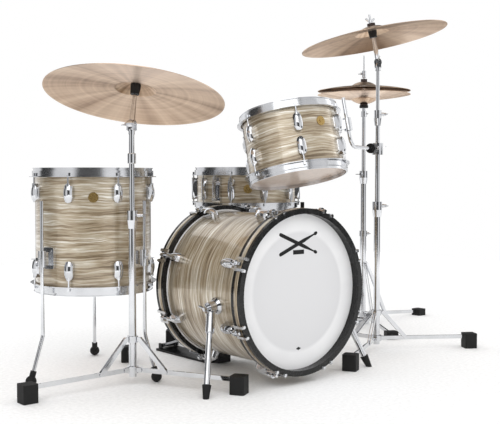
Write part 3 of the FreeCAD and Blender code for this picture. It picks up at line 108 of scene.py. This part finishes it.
# ---- Marks on the front head --------------------------------------------------------------------
MARK_WIDTH = 0.165
MARK_LIFT = 0.142
MARK_TILT = math.radians(22)
MARK_THICKNESS = 0.0004
BLOCK_HALF_WIDTH = 0.022
BLOCK_TOP = -0.0185
BLOCK_FOOT = -0.0315
LOZENGE_HALF_WIDTH = 0.010
LOZENGE_HALF_HEIGHT = 0.005
SMALL_MARK_DROP = 0.170

# ---- Drumstick: half widths, and distances from its ends ----------------------------------------
STICK_BUTT = 0.0040
STICK_SHAFT = 0.0055
STICK_TAPER = 0.0030
STICK_NECK = 0.0022
STICK_BEAD = 0.0052
STICK_TIP = 0.0001
STICK_BUTT_END = 0.001
STICK_SHAFT_START = 0.006
STICK_SHAFT_END = 0.30              # a share of half the stick's length
STICK_BEAD_LENGTH = 0.008
STICK_TAPER_END = 0.030
STICK_NECK_END = 0.016
STICK_BEAD_STEPS = 8
STICK_BEAD_START = 0.93             # a share of half a turn

# ---- Sizes and places that tell one material's patches from another's ---------------------------
BADGE_SIZE = 0.10
SPUR_TIP = 0.042
TOM_FOOT = 0.0485
BOOT_TOP = 0.0535
BOOT_DISTANCE = 0.16
BOOT_SIZE = 0.085
BASKET_GRIP_DISTANCE = 0.13
BASKET_GRIP_SIZE = 0.062
CLAMP_GRIP_HEIGHT = (0.030, 0.037)
SNARE_WIRES_TOP = 0.510
PEDAL_POST_HEIGHT = 0.09
PEDAL_POST_SQUARE = 0.001           # how nearly equal the post's two widths are
BEATER_WIDTH = 0.040
SAME_SIZE = 0.0015
TILTER_FELTS = (-0.0085, 0.010)     # places along the spindle from the cymbal's seat
TILTER_CUP = (-0.042, -0.0085)
TILTER_CUP_WIDTH = 0.028
HIHAT_FELT = (-0.005, 0.004)
HIHAT_CUP = (-0.017, -0.005)
HIHAT_CUP_WIDTH = 0.040
CLUTCH_FELTS = (-0.012, 0.030)
CLUTCH_FELT_WIDTH = 0.030
FELT_WIDTH = 0.034

# ---- Tones, from dark to light: place on the ramp, colour ---------------------------------------
PEARL_TONES = [
    (0.36, (0.100, 0.066, 0.034)),
    (0.43, (0.235, 0.172, 0.102)),
    (0.49, (0.41, 0.33, 0.225)),
    (0.55, (0.58, 0.515, 0.405)),
    (0.62, (0.90, 0.88, 0.82)),
]
# bronze tones, spread by the cymbal's own cloud and rings and by painted reflection streaks
BRONZE_AND_PAINTED_STREAK_TONES = [
    (0.36, (0.31, 0.205, 0.135)),
    (0.48, (0.54, 0.385, 0.27)),
    (0.62, (0.74, 0.57, 0.42)),
]
CHROME_TONES = [(0.25, (0.60, 0.61, 0.63)), (0.75, (0.76, 0.77, 0.79))]
HEAD_TONES = [(0.3, (0.70, 0.70, 0.71)), (0.7, (0.78, 0.78, 0.785))]
HEAD_CENTRE_COLOUR = (0.62, 0.62, 0.63, 1)
LACQUER_TONES = [(0.3, (0.006, 0.006, 0.006)), (0.8, (0.018, 0.018, 0.018))]

# ---- Plain finishes: name, colour, roughness, metallic, grain, depth of grain -------------------
PLAIN_FINISHES = {
    "brass": ("brass", (0.50, 0.34, 0.13), 0.28, 1.0, 220.0, 0.05),
    "clear_head": ("clear_head", (0.74, 0.60, 0.50), 0.22, 0.0, 60.0, 0.02),
    "rubber": ("rubber", (0.012, 0.012, 0.012), 0.62, 0.0, 700.0, 0.25),
    "black_metal": ("black_metal", (0.014, 0.014, 0.015), 0.38, 0.2, 900.0, 0.10),
    "black_plastic": ("black_plastic", (0.016, 0.016, 0.016), 0.45, 0.0, 500.0, 0.12),
    "felt": ("felt", (0.055, 0.042, 0.040), 0.95, 0.0, 1400.0, 0.55),
    "footboard": ("footboard_metal", (0.42, 0.43, 0.45), 0.34, 1.0, 500.0, 0.10),
    "wires": ("snare_wires", (0.55, 0.56, 0.58), 0.30, 1.0, 900.0, 0.30),
    "ink": ("mark_ink", (0.008, 0.008, 0.008), 0.40, 0.0, 400.0, 0.03),
}
CHROME_GLOSS = (0.035, 0.13)
HOOP_GLOSS = (0.12, 0.22)


# =================================================================================================
# Camera, light and floor
# =================================================================================================
def add_camera():
    data = bpy.data.cameras.new("camera")
    data.lens = CAMERA_LENS
    data.sensor_width = CAMERA_SENSOR
    camera = bpy.data.objects.new("camera", data)
    bpy.context.scene.collection.objects.link(camera)
    camera.location = Vector((BASS_X, BASS_FRONT, CAMERA_HEIGHT)) + CAMERA_FROM_HOOP
    camera.rotation_euler = (math.pi / 2 + CAMERA_PITCH, 0, CAMERA_HEADING)
    bpy.context.scene.camera = camera


def area_light(name, place, size, power):
    data = bpy.data.lights.new(name, "AREA")
    data.shape = "RECTANGLE"
    data.size = size[0]
    data.size_y = size[1]
    data.energy = power
    light = bpy.data.objects.new(name, data)
    bpy.context.scene.collection.objects.link(light)
    light.location = place
    aim = Vector(LIGHT_TARGET) - Vector(place)
    light.rotation_euler = aim.to_track_quat("-Z", "Y").to_euler()


def studio_world():
    """White to the eye.  What the metal mirrors is white with tall dark flats and a grey ceiling."""
    world = bpy.data.worlds.new("studio")
    bpy.context.scene.world = world
    world.use_nodes = True
    tree = world.node_tree
    tree.nodes.clear()
    link = tree.links.new
    coordinates = tree.nodes.new("ShaderNodeTexCoord")
    split = tree.nodes.new("ShaderNodeSeparateXYZ")
    link(coordinates.outputs["Generated"], split.inputs[0])
    heading = tree.nodes.new("ShaderNodeMath")
    heading.operation = "ARCTAN2"
    link(split.outputs["Y"], heading.inputs[0])
    link(split.outputs["X"], heading.inputs[1])
    turn = tree.nodes.new("ShaderNodeMapRange")
    turn.inputs["From Min"].default_value = -math.pi
    turn.inputs["From Max"].default_value = math.pi
    link(heading.outputs[0], turn.inputs["Value"])
    flats = tree.nodes.new("ShaderNodeValToRGB")
    elements = flats.color_ramp.elements
    for place, _ in ROOM_FLATS[2:]:
        elements.new(place)
    for element, (place, level) in zip(elements, ROOM_FLATS):
        element.position = place
        element.color = (level, level, level * ROOM_BLUE, 1)
    link(turn.outputs["Result"], flats.inputs["Fac"])
    path = tree.nodes.new("ShaderNodeLightPath")
    plain = tree.nodes.new("ShaderNodeBackground")
    plain.inputs["Color"].default_value = (1, 1, 1, 1)
    plain.inputs["Strength"].default_value = 1.0
    room = tree.nodes.new("ShaderNodeBackground")
    ceiling = tree.nodes.new("ShaderNodeMapRange")
    ceiling.inputs["From Min"].default_value = CEILING_FROM
    ceiling.inputs["From Max"].default_value = CEILING_TO
    ceiling.inputs["To Min"].default_value = WALL_STRENGTH
    ceiling.inputs["To Max"].default_value = CEILING_STRENGTH
    link(split.outputs["Z"], ceiling.inputs["Value"])
    link(ceiling.outputs["Result"], room.inputs["Strength"])
    link(flats.outputs["Color"], room.inputs["Color"])
    mix = tree.nodes.new("ShaderNodeMixShader")
    link(path.outputs["Is Glossy Ray"], mix.inputs["Fac"])
    link(plain.outputs[0], mix.inputs[1])
    link(room.outputs[0], mix.inputs[2])
    output = tree.nodes.new("ShaderNodeOutputWorld")
    link(mix.outputs[0], output.inputs["Surface"])


def add_floor():
    mesh = bpy.data.meshes.new("floor")
    half = FLOOR_HALF
    corners = [(-half, -half, 0), (half, -half, 0), (half, half, 0), (-half, half, 0)]
    mesh.from_pydata(corners, [], [(0, 1, 2, 3)])
    floor = bpy.data.objects.new("floor", mesh)
    bpy.context.scene.collection.objects.link(floor)
    coating = plain_material(*FLOOR_PAINT)
    nodes = coating.node_tree.nodes
    link = coating.node_tree.links.new
    place = nodes.new("ShaderNodeNewGeometry")
    distance = nodes.new("ShaderNodeVectorMath")
    distance.operation = "LENGTH"
    link(place.outputs["Position"], distance.inputs[0])
    # painted light: the floor glows, more the further it lies from the kit, so that it fades into the white
    # backdrop
    fade = nodes.new("ShaderNodeMapRange")
    fade.interpolation_type = "SMOOTHSTEP"
    fade.inputs["From Min"].default_value = FADE_START
    fade.inputs["From Max"].default_value = FADE_END
    fade.inputs["To Max"].default_value = FADE_GLOW
    link(distance.outputs["Value"], fade.inputs["Value"])
    glow = nodes["Principled BSDF"].inputs
    glow["Emission Color"].default_value = (1, 1, 1, 1)
    link(fade.outputs["Result"], glow["Emission Strength"])
    floor.data.materials.append(coating)


# =================================================================================================
# Materials
# =================================================================================================
class Shader:
    """A new material's nodes, with short ways to add and join them."""

    def __init__(self, name):
        self.material = bpy.data.materials.new(name)
        self.material.use_nodes = True
        self.tree = self.material.node_tree
        self.bsdf = self.tree.nodes["Principled BSDF"]

    def add(self, kind, **inputs):
        node = self.tree.nodes.new("ShaderNode" + kind)
        for key, value in inputs.items():
            self.put(node.inputs[key.replace("_", " ")], value)
        return node

    def put(self, socket, value):
        if isinstance(value, bpy.types.NodeSocket):
            self.tree.links.new(value, socket)
        else:
            socket.default_value = value

    def set(self, name, value):
        self.put(self.bsdf.inputs[name], value)

    def vector_math(self, operation, *values):
        node = self.tree.nodes.new("ShaderNodeVectorMath")
        node.operation = operation
        for socket, value in zip(node.inputs, values):
            self.put(socket, value)
        return node.outputs[0]

    def blended(self, *parts):
        """The sum of values, each times its share."""
        total = None
        for value, share in parts:
            term = self.math("MULTIPLY", value, share)
            total = term if total is None else self.math("ADD", total, term)
        return total

    def distance_from_axis(self, point):
        """A point's X and Y, and its distance from the Z axis."""
        flat = self.add("SeparateXYZ", Vector=point)
        x = flat.outputs["X"]
        y = flat.outputs["Y"]
        square = self.math("ADD", self.math("MULTIPLY", x, x), self.math("MULTIPLY", y, y))
        return x, y, self.math("SQRT", square)

    def math(self, operation, first, second=0.0):
        node = self.tree.nodes.new("ShaderNodeMath")
        node.operation = operation
        self.put(node.inputs[0], first)
        self.put(node.inputs[1], second)
        return node.outputs[0]

    def local(self, centre=(0, 0, 0), turn=(0, 0, 0)):
        """The point in a frame of its own: moved to centre and turned, in metres."""
        coordinates = self.add("TexCoord")
        mapping = self.add("Mapping")
        mapping.vector_type = "TEXTURE"
        self.put(mapping.inputs["Vector"], coordinates.outputs["Object"])
        self.put(mapping.inputs["Location"], centre)
        self.put(mapping.inputs["Rotation"], turn)
        return mapping.outputs[0]

    def stretched(self, vector, scale):
        return self.vector_math("MULTIPLY", vector, scale)

    def noise(self, vector, scale=1.0, detail=4.0, roughness=0.5, distortion=0.0):
        node = self.add("TexNoise", Vector=vector, Scale=scale, Detail=detail, Roughness=roughness,
                        Distortion=distortion)
        return node.outputs["Fac"]

    def ramp(self, factor, stops):
        node = self.add("ValToRGB", Fac=factor)
        elements = node.color_ramp.elements
        for _ in stops[2:]:
            elements.new(1.0)
        for element, (place, colour) in zip(elements, stops):
            element.position = place
            element.color = tuple(colour) + (1,)
        return node.outputs["Color"]

    def between(self, factor, low, high):
        node = self.add("MapRange", Value=factor, To_Min=low, To_Max=high)
        return node.outputs["Result"]

    def mixed(self, factor, first, second):
        """Two colours mixed.  The mix node's colour sockets are its inputs 6 and 7 and its output 2."""
        node = self.tree.nodes.new("ShaderNodeMix")
        node.data_type = "RGBA"
        self.put(node.inputs["Factor"], factor)
        self.put(node.inputs[6], first)
        self.put(node.inputs[7], second)
        return node.outputs[2]

    def bump(self, height, strength, distance=0.001):
        node = self.add("Bump", Height=height, Strength=strength, Distance=distance)
        self.set("Normal", node.outputs["Normal"])


def plain_material(name, colour, roughness, metallic=0.0, grain=300.0, depth=0.05):
    """An even finish with a fine grain in its colour, gloss and surface."""
    shader = Shader(name)
    grain_noise = shader.noise(shader.local(), grain, 5.0, 0.6)
    dark = tuple(channel * 0.86 for channel in colour)
    shader.set("Base Color", shader.ramp(grain_noise, [(0.3, dark), (0.7, colour)]))
    shader.set("Roughness", shader.between(grain_noise, roughness * 0.85, min(1.0, roughness * 1.15)))
    shader.set("Metallic", metallic)
    shader.set("Specular IOR Level", 0.25)
    shader.bump(grain_noise, depth, 0.0006)
    return shader.material


def chrome(name, gloss):
    """Polished chrome with faint smudges and hairline polish marks; gloss is its two roughnesses."""
    shader = Shader(name)
    point = shader.local()
    smudges = shader.noise(point, 14.0, 3.0, 0.6)
    hairs = shader.noise(shader.stretched(point, (900.0, 900.0, 60.0)), 1.0, 2.0, 0.5)
    shader.set("Base Color", shader.ramp(smudges, CHROME_TONES))
    shader.set("Metallic", 1.0)
    shader.set("Roughness", shader.between(smudges, gloss[0], gloss[1]))
    shader.bump(hairs, 0.02, 0.0002)
    return shader.material


def pearl(name, centre, turn):
    """Oyster pearl wrap: long fine streaks that run round the drum under a clear gloss."""
    shader = Shader(name)
    point = shader.local(centre, turn)
    drift = shader.add("TexNoise", Vector=shader.stretched(point, (7.0, 7.0, 10.0)), Scale=1.0, Detail=2.0)
    wavy = shader.vector_math("MULTIPLY_ADD", drift.outputs["Color"], (0.0, 0.0, 0.022), point)
    bands = shader.noise(shader.stretched(wavy, (3.2, 3.2, 40.0)), 1.0, 2.0, 0.5, 0.3)
    streaks = shader.noise(shader.stretched(wavy, (7.0, 7.0, 190.0)), 1.0, 4.0, 0.62, 0.5)
    threads = shader.noise(shader.stretched(wavy, (17.0, 17.0, 620.0)), 1.0, 3.0, 0.6, 0.2)
    tone = shader.blended((bands, 0.30), (streaks, 0.46), (threads, 0.24))
    shader.set("Base Color", shader.ramp(tone, PEARL_TONES))
    shader.set("Metallic", shader.between(streaks, 0.25, 0.70))
    shader.set("Roughness", shader.between(threads, 0.26, 0.42))
    shader.set("Coat Weight", 1.0)
    shader.set("Coat Roughness", 0.05)
    shader.set("Specular IOR Level", 0.55)
    return shader.material


def bronze(name, centre, axis):
    """Rose bronze: fine lathe rings, soft lighter and darker radial streaks of painted reflection in the
    colour, and a sheen round the axis.
    """
    turn = Vector(axis).to_track_quat("Z", "Y").to_euler()
    shader = Shader(name)
    point = shader.local(centre, turn)
    x, y, radius = shader.distance_from_axis(point)
    along = shader.add("CombineXYZ", X=radius)
    rings = shader.noise(along.outputs[0], 900.0, 3.0, 0.7)
    wide = shader.noise(along.outputs[0], 70.0, 2.0, 0.5)
    cloud = shader.noise(point, 9.0, 4.0, 0.55)
    # painted reflection: lighter and darker radial streaks, like the fan of light a lathed cymbal mirrors,
    # make up most of the tone
    spoke = shader.add("CombineXYZ", X=shader.math("DIVIDE", x, radius), Y=shader.math("DIVIDE", y, radius))
    painted_streaks = shader.noise(spoke.outputs[0], 3.4, 3.0, 0.55)
    tone = shader.blended((wide, 0.25), (cloud, 0.20), (painted_streaks, 0.55))
    shader.set("Base Color", shader.ramp(tone, BRONZE_AND_PAINTED_STREAK_TONES))
    shader.set("Metallic", 1.0)
    shader.set("Roughness", shader.between(rings, 0.24, 0.36))
    shader.set("Anisotropic", 0.75)
    shader.bump(rings, 0.16, 0.0004)
    round_axis = shader.add("CombineXYZ", X=shader.math("MULTIPLY", y, -1.0), Y=x)
    back = shader.add("Mapping", Vector=round_axis.outputs[0], Rotation=turn)
    back.vector_type = "VECTOR"
    to_world = shader.add("VectorTransform", Vector=back.outputs[0])
    to_world.vector_type = "VECTOR"
    to_world.convert_from = "OBJECT"
    to_world.convert_to = "WORLD"
    shader.set("Tangent", shader.vector_math("NORMALIZE", to_world.outputs[0]))
    return shader.material


def drum_head(name, centre=(0, 0, 0), turn=(0, 0, 0), ring_radius=0.0):
    """Coated film: a fine pebbled white, with a muffling ring's edge showing where one is fitted."""
    shader = Shader(name)
    point = shader.local(centre, turn)
    pebble = shader.noise(point, 900.0, 4.0, 0.7)
    cloud = shader.noise(point, 6.0, 3.0, 0.5)
    colour = shader.ramp(cloud, HEAD_TONES)
    if ring_radius:
        _, _, radius = shader.distance_from_axis(point)
        inner = ring_radius + RING_EDGE[0]
        outer = ring_radius + RING_EDGE[1]
        edge = shader.add("MapRange", Value=radius, From_Min=inner, From_Max=outer)
        colour = shader.mixed(edge.outputs["Result"], HEAD_CENTRE_COLOUR, colour)
    shader.set("Base Color", colour)
    shader.set("Roughness", shader.between(pebble, 0.42, 0.62))
    shader.set("Specular IOR Level", 0.35)
    shader.bump(pebble, 0.12, 0.0003)
    return shader.material


def lacquer():
    """Black lacquer over wood: glossy, with a trace of grain."""
    shader = Shader("black_lacquer")
    point = shader.local()
    grain = shader.noise(shader.stretched(point, (60.0, 400.0, 60.0)), 1.0, 4.0, 0.6)
    shader.set("Base Color", shader.ramp(grain, LACQUER_TONES))
    shader.set("Roughness", shader.between(grain, 0.20, 0.34))
    shader.set("Specular IOR Level", 0.22)
    shader.set("Coat Weight", 0.22)
    shader.set("Coat Roughness", 0.08)
    shader.bump(grain, 0.03, 0.0003)
    return shader.material


def materials():
    """The finishes that are the same on every piece, by a short name."""
    made = {key: plain_material(*finish) for key, finish in PLAIN_FINISHES.items()}
    made["chrome"] = chrome("chrome", CHROME_GLOSS)
    made["hoop_chrome"] = chrome("hoop_chrome", HOOP_GLOSS)
    made["lacquer"] = lacquer()
    made["head"] = drum_head("coated_head")
    return made


# =================================================================================================
# Painting the CAD nodes
# =================================================================================================
def patches(mesh):
    """For each face, the number of the smooth patch it lies in, with each patch's box."""
    parent = list(range(len(mesh.vertices)))

    def root(item):
        while parent[item] != item:
            parent[item] = parent[parent[item]]
            item = parent[item]
        return item

    for face in mesh.polygons:
        first = root(face.vertices[0])
        for index in face.vertices[1:]:
            parent[root(index)] = first
    labels = [root(face.vertices[0]) for face in mesh.polygons]
    boxes = {}
    for vertex in mesh.vertices:
        low, high = boxes.setdefault(root(vertex.index), (Vector(vertex.co), Vector(vertex.co)))
        for axis in range(3):
            low[axis] = min(low[axis], vertex.co[axis])
            high[axis] = max(high[axis], vertex.co[axis])
    return labels, boxes


def paint(node, material, rules=()):
    """Give a node its material, and each patch that a rule picks by its box another one."""
    mesh = NODES[node].data
    mesh.materials.clear()
    mesh.materials.append(material)
    for _, other in rules:
        mesh.materials.append(other)
    labels, boxes = patches(mesh)
    picked = {}
    for label, (low, high) in boxes.items():
        picked[label] = 0
        for number, (test, _) in enumerate(rules, start=1):
            if test(low, high):
                picked[label] = number
                break
    for face, label in zip(mesh.polygons, labels):
        face.material_index = picked[label]


# ---- Rules that pick a patch by its box ---------------------------------------------------------
def below(height):
    return lambda low, high: high.z < height


def shorter_than(length):
    return lambda low, high: (high - low).length < length


def wide_and_between(centre, axis, ends, width):
    """Patches over a width, whose middle lies between two ends along an axis through centre."""
    def test(low, high):
        place = ((low + high) / 2 - centre).dot(axis)
        return ends[0] < place < ends[1] and (high - low).xy.length > width
    return test


def far_and_small(centre, distance, size):
    """Small patches further than a distance from an upright line through centre."""
    def test(low, high):
        return ((low + high) / 2 - centre).xy.length > distance and (high - low).xy.length < size
    return test


def as_tall_as(heights):
    return lambda low, high: heights[0] < (high - low).z < heights[1]


def square_post(low, high):
    size = high - low
    return abs(size.x - size.y) < PEDAL_POST_SQUARE and size.z > PEDAL_POST_HEIGHT


def as_wide_as(width):
    return lambda low, high: abs(high.x - low.x - width) < SAME_SIZE


def joint_line(name):
    joint = JOINTS[name]
    return Vector(joint["pos_m"]), Vector(joint["axis"])


def middle(node):
    low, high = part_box(node)
    return (low + high) / 2


def paint_shell(drum, turn, badge):
    """Wrap a drum's shell in its own pearl, and leave its badge in metal."""
    shell = drum + "_shell"
    wrap = pearl("pearl_" + drum, middle(shell), turn)
    paint(shell, wrap, [(shorter_than(BADGE_SIZE), badge)])
    return wrap


def paint_drums(look):
    bass_turn = (-math.pi / 2, 0, 0)
    rack_turn = (-RACK_TILT, 0, 0)
    upright = (0, 0, 0)
    bass_pearl = paint_shell("bass_drum", bass_turn, look["brass"])
    paint_shell("floor_tom", upright, look["brass"])
    paint_shell("rack_tom", rack_turn, look["brass"])
    paint_shell("snare", upright, look["brass"])
    paint("bass_drum_hoops", look["lacquer"])
    ring_radius = BASS_SHELL_RADIUS * HEAD_RING
    ringed_head = drum_head("bass_drum_head", middle("bass_drum_heads"), bass_turn, ring_radius)
    paint("bass_drum_heads", ringed_head)
    for drum in ("floor_tom", "rack_tom", "snare"):
        lower_head = below(middle(drum + "_heads").z)
        paint(drum + "_heads", look["head"], [(lower_head, look["clear_head"])])
        paint(drum + "_hoops", look["hoop_chrome"])
        paint(drum + "_lugs", look["chrome"])
        paint(drum + "_tension_rods", look["chrome"])
    for node in ("bass_drum_lugs", "bass_drum_claws_and_rods", "bass_drum_spur_brackets",
                 "floor_tom_leg_brackets", "rack_tom_bracket", "tom_arm", "snare_strainer_lever"):
        paint(node, look["chrome"])
    for side in ("left", "right"):
        paint("bass_drum_" + side + "_spur", look["chrome"], [(below(SPUR_TIP), look["rubber"])])
    for side in ("left", "right", "rear"):
        paint("floor_tom_leg_" + side, look["chrome"], [(below(TOM_FOOT), look["rubber"])])
    paint("tom_clamp", look["chrome"], [(as_tall_as(CLAMP_GRIP_HEIGHT), look["black_metal"])])
    paint("snare_strainer", look["chrome"], [(below(SNARE_WIRES_TOP), look["wires"])])
    return bass_pearl


def boot_of(tube):
    """The rubber boots round a stand: small patches near the floor, away from its tube."""
    outer = far_and_small(middle(tube), BOOT_DISTANCE, BOOT_SIZE)
    return lambda low, high: high.z < BOOT_TOP and outer(low, high)


def paint_stands(look):
    footed = [
        ("left_stand_base", "left_stand_upper_tube"),
        ("right_stand_base", "right_stand_upper_tube"),
        ("snare_stand_tripod", "snare_stand_post"),
        ("hihat_leg_front", "hihat_pull_rod"),
        ("hihat_leg_rear", "hihat_pull_rod"),
        ("hihat_leg_right", "hihat_pull_rod"),
    ]
    for node, tube in footed:
        paint(node, look["chrome"], [(boot_of(tube), look["rubber"])])
    for node in ("left_stand_upper_tube", "right_stand_upper_tube", "right_stand_middle_tube",
                 "snare_stand_post", "hihat_frame", "hihat_collar",
                 "hihat_brace_front", "hihat_brace_rear", "hihat_brace_right"):
        paint(node, look["chrome"])
    for side in ("left", "right"):
        seat, axis = joint_line(side + "_cymbal_spin")
        felts = wide_and_between(seat, axis, TILTER_FELTS, FELT_WIDTH)
        cup = wide_and_between(seat, axis, TILTER_CUP, TILTER_CUP_WIDTH)
        paint(side + "_tilter", look["chrome"], [(felts, look["felt"]), (cup, look["black_plastic"])])
    basket_pivot = Vector(JOINTS["snare_basket_tilt"]["pos_m"])
    grips = far_and_small(basket_pivot, BASKET_GRIP_DISTANCE, BASKET_GRIP_SIZE)
    paint("snare_basket", look["chrome"], [(grips, look["rubber"])])


def paint_hihat_and_pedal(look):
    seat, up = joint_line("hihat_bottom_cymbal_spin")
    felt = wide_and_between(seat, up, HIHAT_FELT, FELT_WIDTH)
    cup = wide_and_between(seat, up, HIHAT_CUP, HIHAT_CUP_WIDTH)
    paint("hihat_upper_tube", look["chrome"], [(felt, look["felt"]), (cup, look["black_plastic"])])
    clutch_felts = wide_and_between(middle("hihat_top_cymbal"), up, CLUTCH_FELTS, CLUTCH_FELT_WIDTH)
    paint("hihat_pull_rod", look["chrome"], [(clutch_felts, look["felt"])])
    paint("hihat_footboard", look["footboard"])
    paint("pedal_frame", look["black_metal"], [(square_post, look["chrome"])])
    paint("pedal_footboard", look["footboard"])
    paint("pedal_beater", look["chrome"], [(as_wide_as(BEATER_WIDTH), look["felt"])])


def paint_cymbals():
    spins = {
        "left_cymbal": "left_cymbal_spin",
        "right_cymbal": "right_cymbal_spin",
        "hihat_bottom_cymbal": "hihat_bottom_cymbal_spin",
        "hihat_top_cymbal": "hihat_bottom_cymbal_spin",
    }
    for node, joint in spins.items():
        centre, axis = joint_line(joint)
        paint(node, bronze("bronze_" + node, centre, axis))


# =================================================================================================
# Pieces added in mesh code
# =================================================================================================
def piece(name, mesh_data, material, body):
    """A new object from mesh data, which rides on a body and wears the given material."""
    mesh = bpy.data.meshes.new(name)
    mesh_data.to_mesh(mesh)
    mesh_data.free()
    mesh.materials.append(material)
    obj = bpy.data.objects.new(name, mesh)
    bpy.context.scene.collection.objects.link(obj)
    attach(obj, body)


def band_round_y(centre, outline, steps):
    """A closed band: an outline of (radius, y) points carried round an axis along Y."""
    mesh = bmesh.new()
    rings = []
    for step in range(steps):
        angle = math.tau * step / steps
        across = Vector((math.cos(angle), 0, math.sin(angle)))
        places = [centre + across * radius + Vector((0, y, 0)) for radius, y in outline]
        rings.append([mesh.verts.new(place) for place in places])
    for number, ring in enumerate(rings):
        following = rings[(number + 1) % steps]
        for index in range(len(outline)):
            after = (index + 1) % len(outline)
            mesh.faces.new((ring[index], ring[after], following[after], following[index]))
    for face in mesh.faces:
        face.smooth = True
    bmesh.ops.recalc_face_normals(mesh, faces=mesh.faces)
    return mesh


def add_hoop_inlays(material):
    """The pearl strip let into the outer face of each bass drum hoop."""
    for name, start in (("front", HOOPS_LOW.y), ("rear", HOOPS_HIGH.y - HOOP_WIDTH)):
        near = start + (HOOP_WIDTH - INLAY_WIDTH) / 2
        far = near + INLAY_WIDTH
        top = BASS_HOOP_RADIUS + INLAY_PROUD
        foot = BASS_HOOP_RADIUS - INLAY_DEPTH
        edge = INLAY_PROUD
        outline = [
            (foot, near), (top - edge, near), (top, near + edge),
            (top, far - edge), (top - edge, far), (foot, far),
        ]
        band = band_round_y(Vector((BASS_X, 0, BASS_Z)), outline, INLAY_STEPS)
        piece("hoop_inlay_" + name, band, material, "root")


def flat_plate(mesh, outline, to_place, thickness):
    """A thin plate from an outline of (across, up) points."""
    front = [mesh.verts.new(to_place(x, z, -thickness)) for x, z in outline]
    back = [mesh.verts.new(to_place(x, z, 0)) for x, z in outline]
    mesh.faces.new(front)
    mesh.faces.new(list(reversed(back)))
    for index in range(len(outline)):
        after = (index + 1) % len(outline)
        mesh.faces.new((front[after], front[index], back[index], back[after]))


def stick_outline(length):
    """A drumstick's outline lying along X: butt, taper, neck and bead."""
    half = length / 2
    upper = [
        (-half, 0.0),
        (-half + STICK_BUTT_END, STICK_BUTT),
        (-half + STICK_SHAFT_START, STICK_SHAFT),
        (half * STICK_SHAFT_END, STICK_SHAFT),
        (half - STICK_TAPER_END, STICK_TAPER),
        (half - STICK_NECK_END, STICK_NECK),
    ]
    for step in range(STICK_BEAD_STEPS + 1):
        angle = math.pi * (STICK_BEAD_START - step / STICK_BEAD_STEPS)
        along = half - STICK_BEAD_LENGTH + STICK_BEAD_LENGTH * math.cos(angle)
        upper.append((along, STICK_BEAD * math.sin(max(angle, 0.0)) + STICK_TIP))
    lower = [(x, -y) for x, y in reversed(upper[1:-1])]
    return upper + lower


def turned_outline(outline, angle, shift=(0.0, 0.0)):
    cosine = math.cos(angle)
    sine = math.sin(angle)
    return [(x * cosine - y * sine + shift[0], x * sine + y * cosine + shift[1]) for x, y in outline]


def add_head_marks(material):
    """A plain mark of two crossed sticks over a block, and a small lozenge near the foot of the head."""
    def on_head(x, z, depth):
        return Vector((BASS_X + x, BASS_HEAD_Y + depth, BASS_Z + z))

    # the second stick is the thicker, so that it lies over the first
    mark = bmesh.new()
    for sign in (-1, 1):
        stick = turned_outline(stick_outline(MARK_WIDTH), sign * MARK_TILT, (0.0, MARK_LIFT))
        flat_plate(mark, stick, on_head, MARK_THICKNESS * (2 + sign) / 2)
    wide = BLOCK_HALF_WIDTH
    block = [(-wide, BLOCK_FOOT), (wide, BLOCK_FOOT), (wide, BLOCK_TOP), (-wide, BLOCK_TOP)]
    flat_plate(mark, [(x, z + MARK_LIFT) for x, z in block], on_head, MARK_THICKNESS)
    piece("head_mark", mark, material, "root")

    small = bmesh.new()
    wide = LOZENGE_HALF_WIDTH
    tall = LOZENGE_HALF_HEIGHT
    lozenge = [(wide, 0), (0, tall), (-wide, 0), (0, -tall)]
    flat_plate(small, [(x, z - SMALL_MARK_DROP) for x, z in lozenge], on_head, MARK_THICKNESS)
    piece("head_small_mark", small, material, "root")


def main():
    bpy.context.scene.view_settings.view_transform = "Standard"
    look = materials()
    bass_pearl = paint_drums(look)
    paint_stands(look)
    paint_hihat_and_pedal(look)
    paint_cymbals()
    add_hoop_inlays(bass_pearl)
    add_head_marks(look["ink"])
    add_camera()
    studio_world()
    add_floor()
    for name, place, size, power in LIGHTS:
        area_light(name, place, size, power)


main()
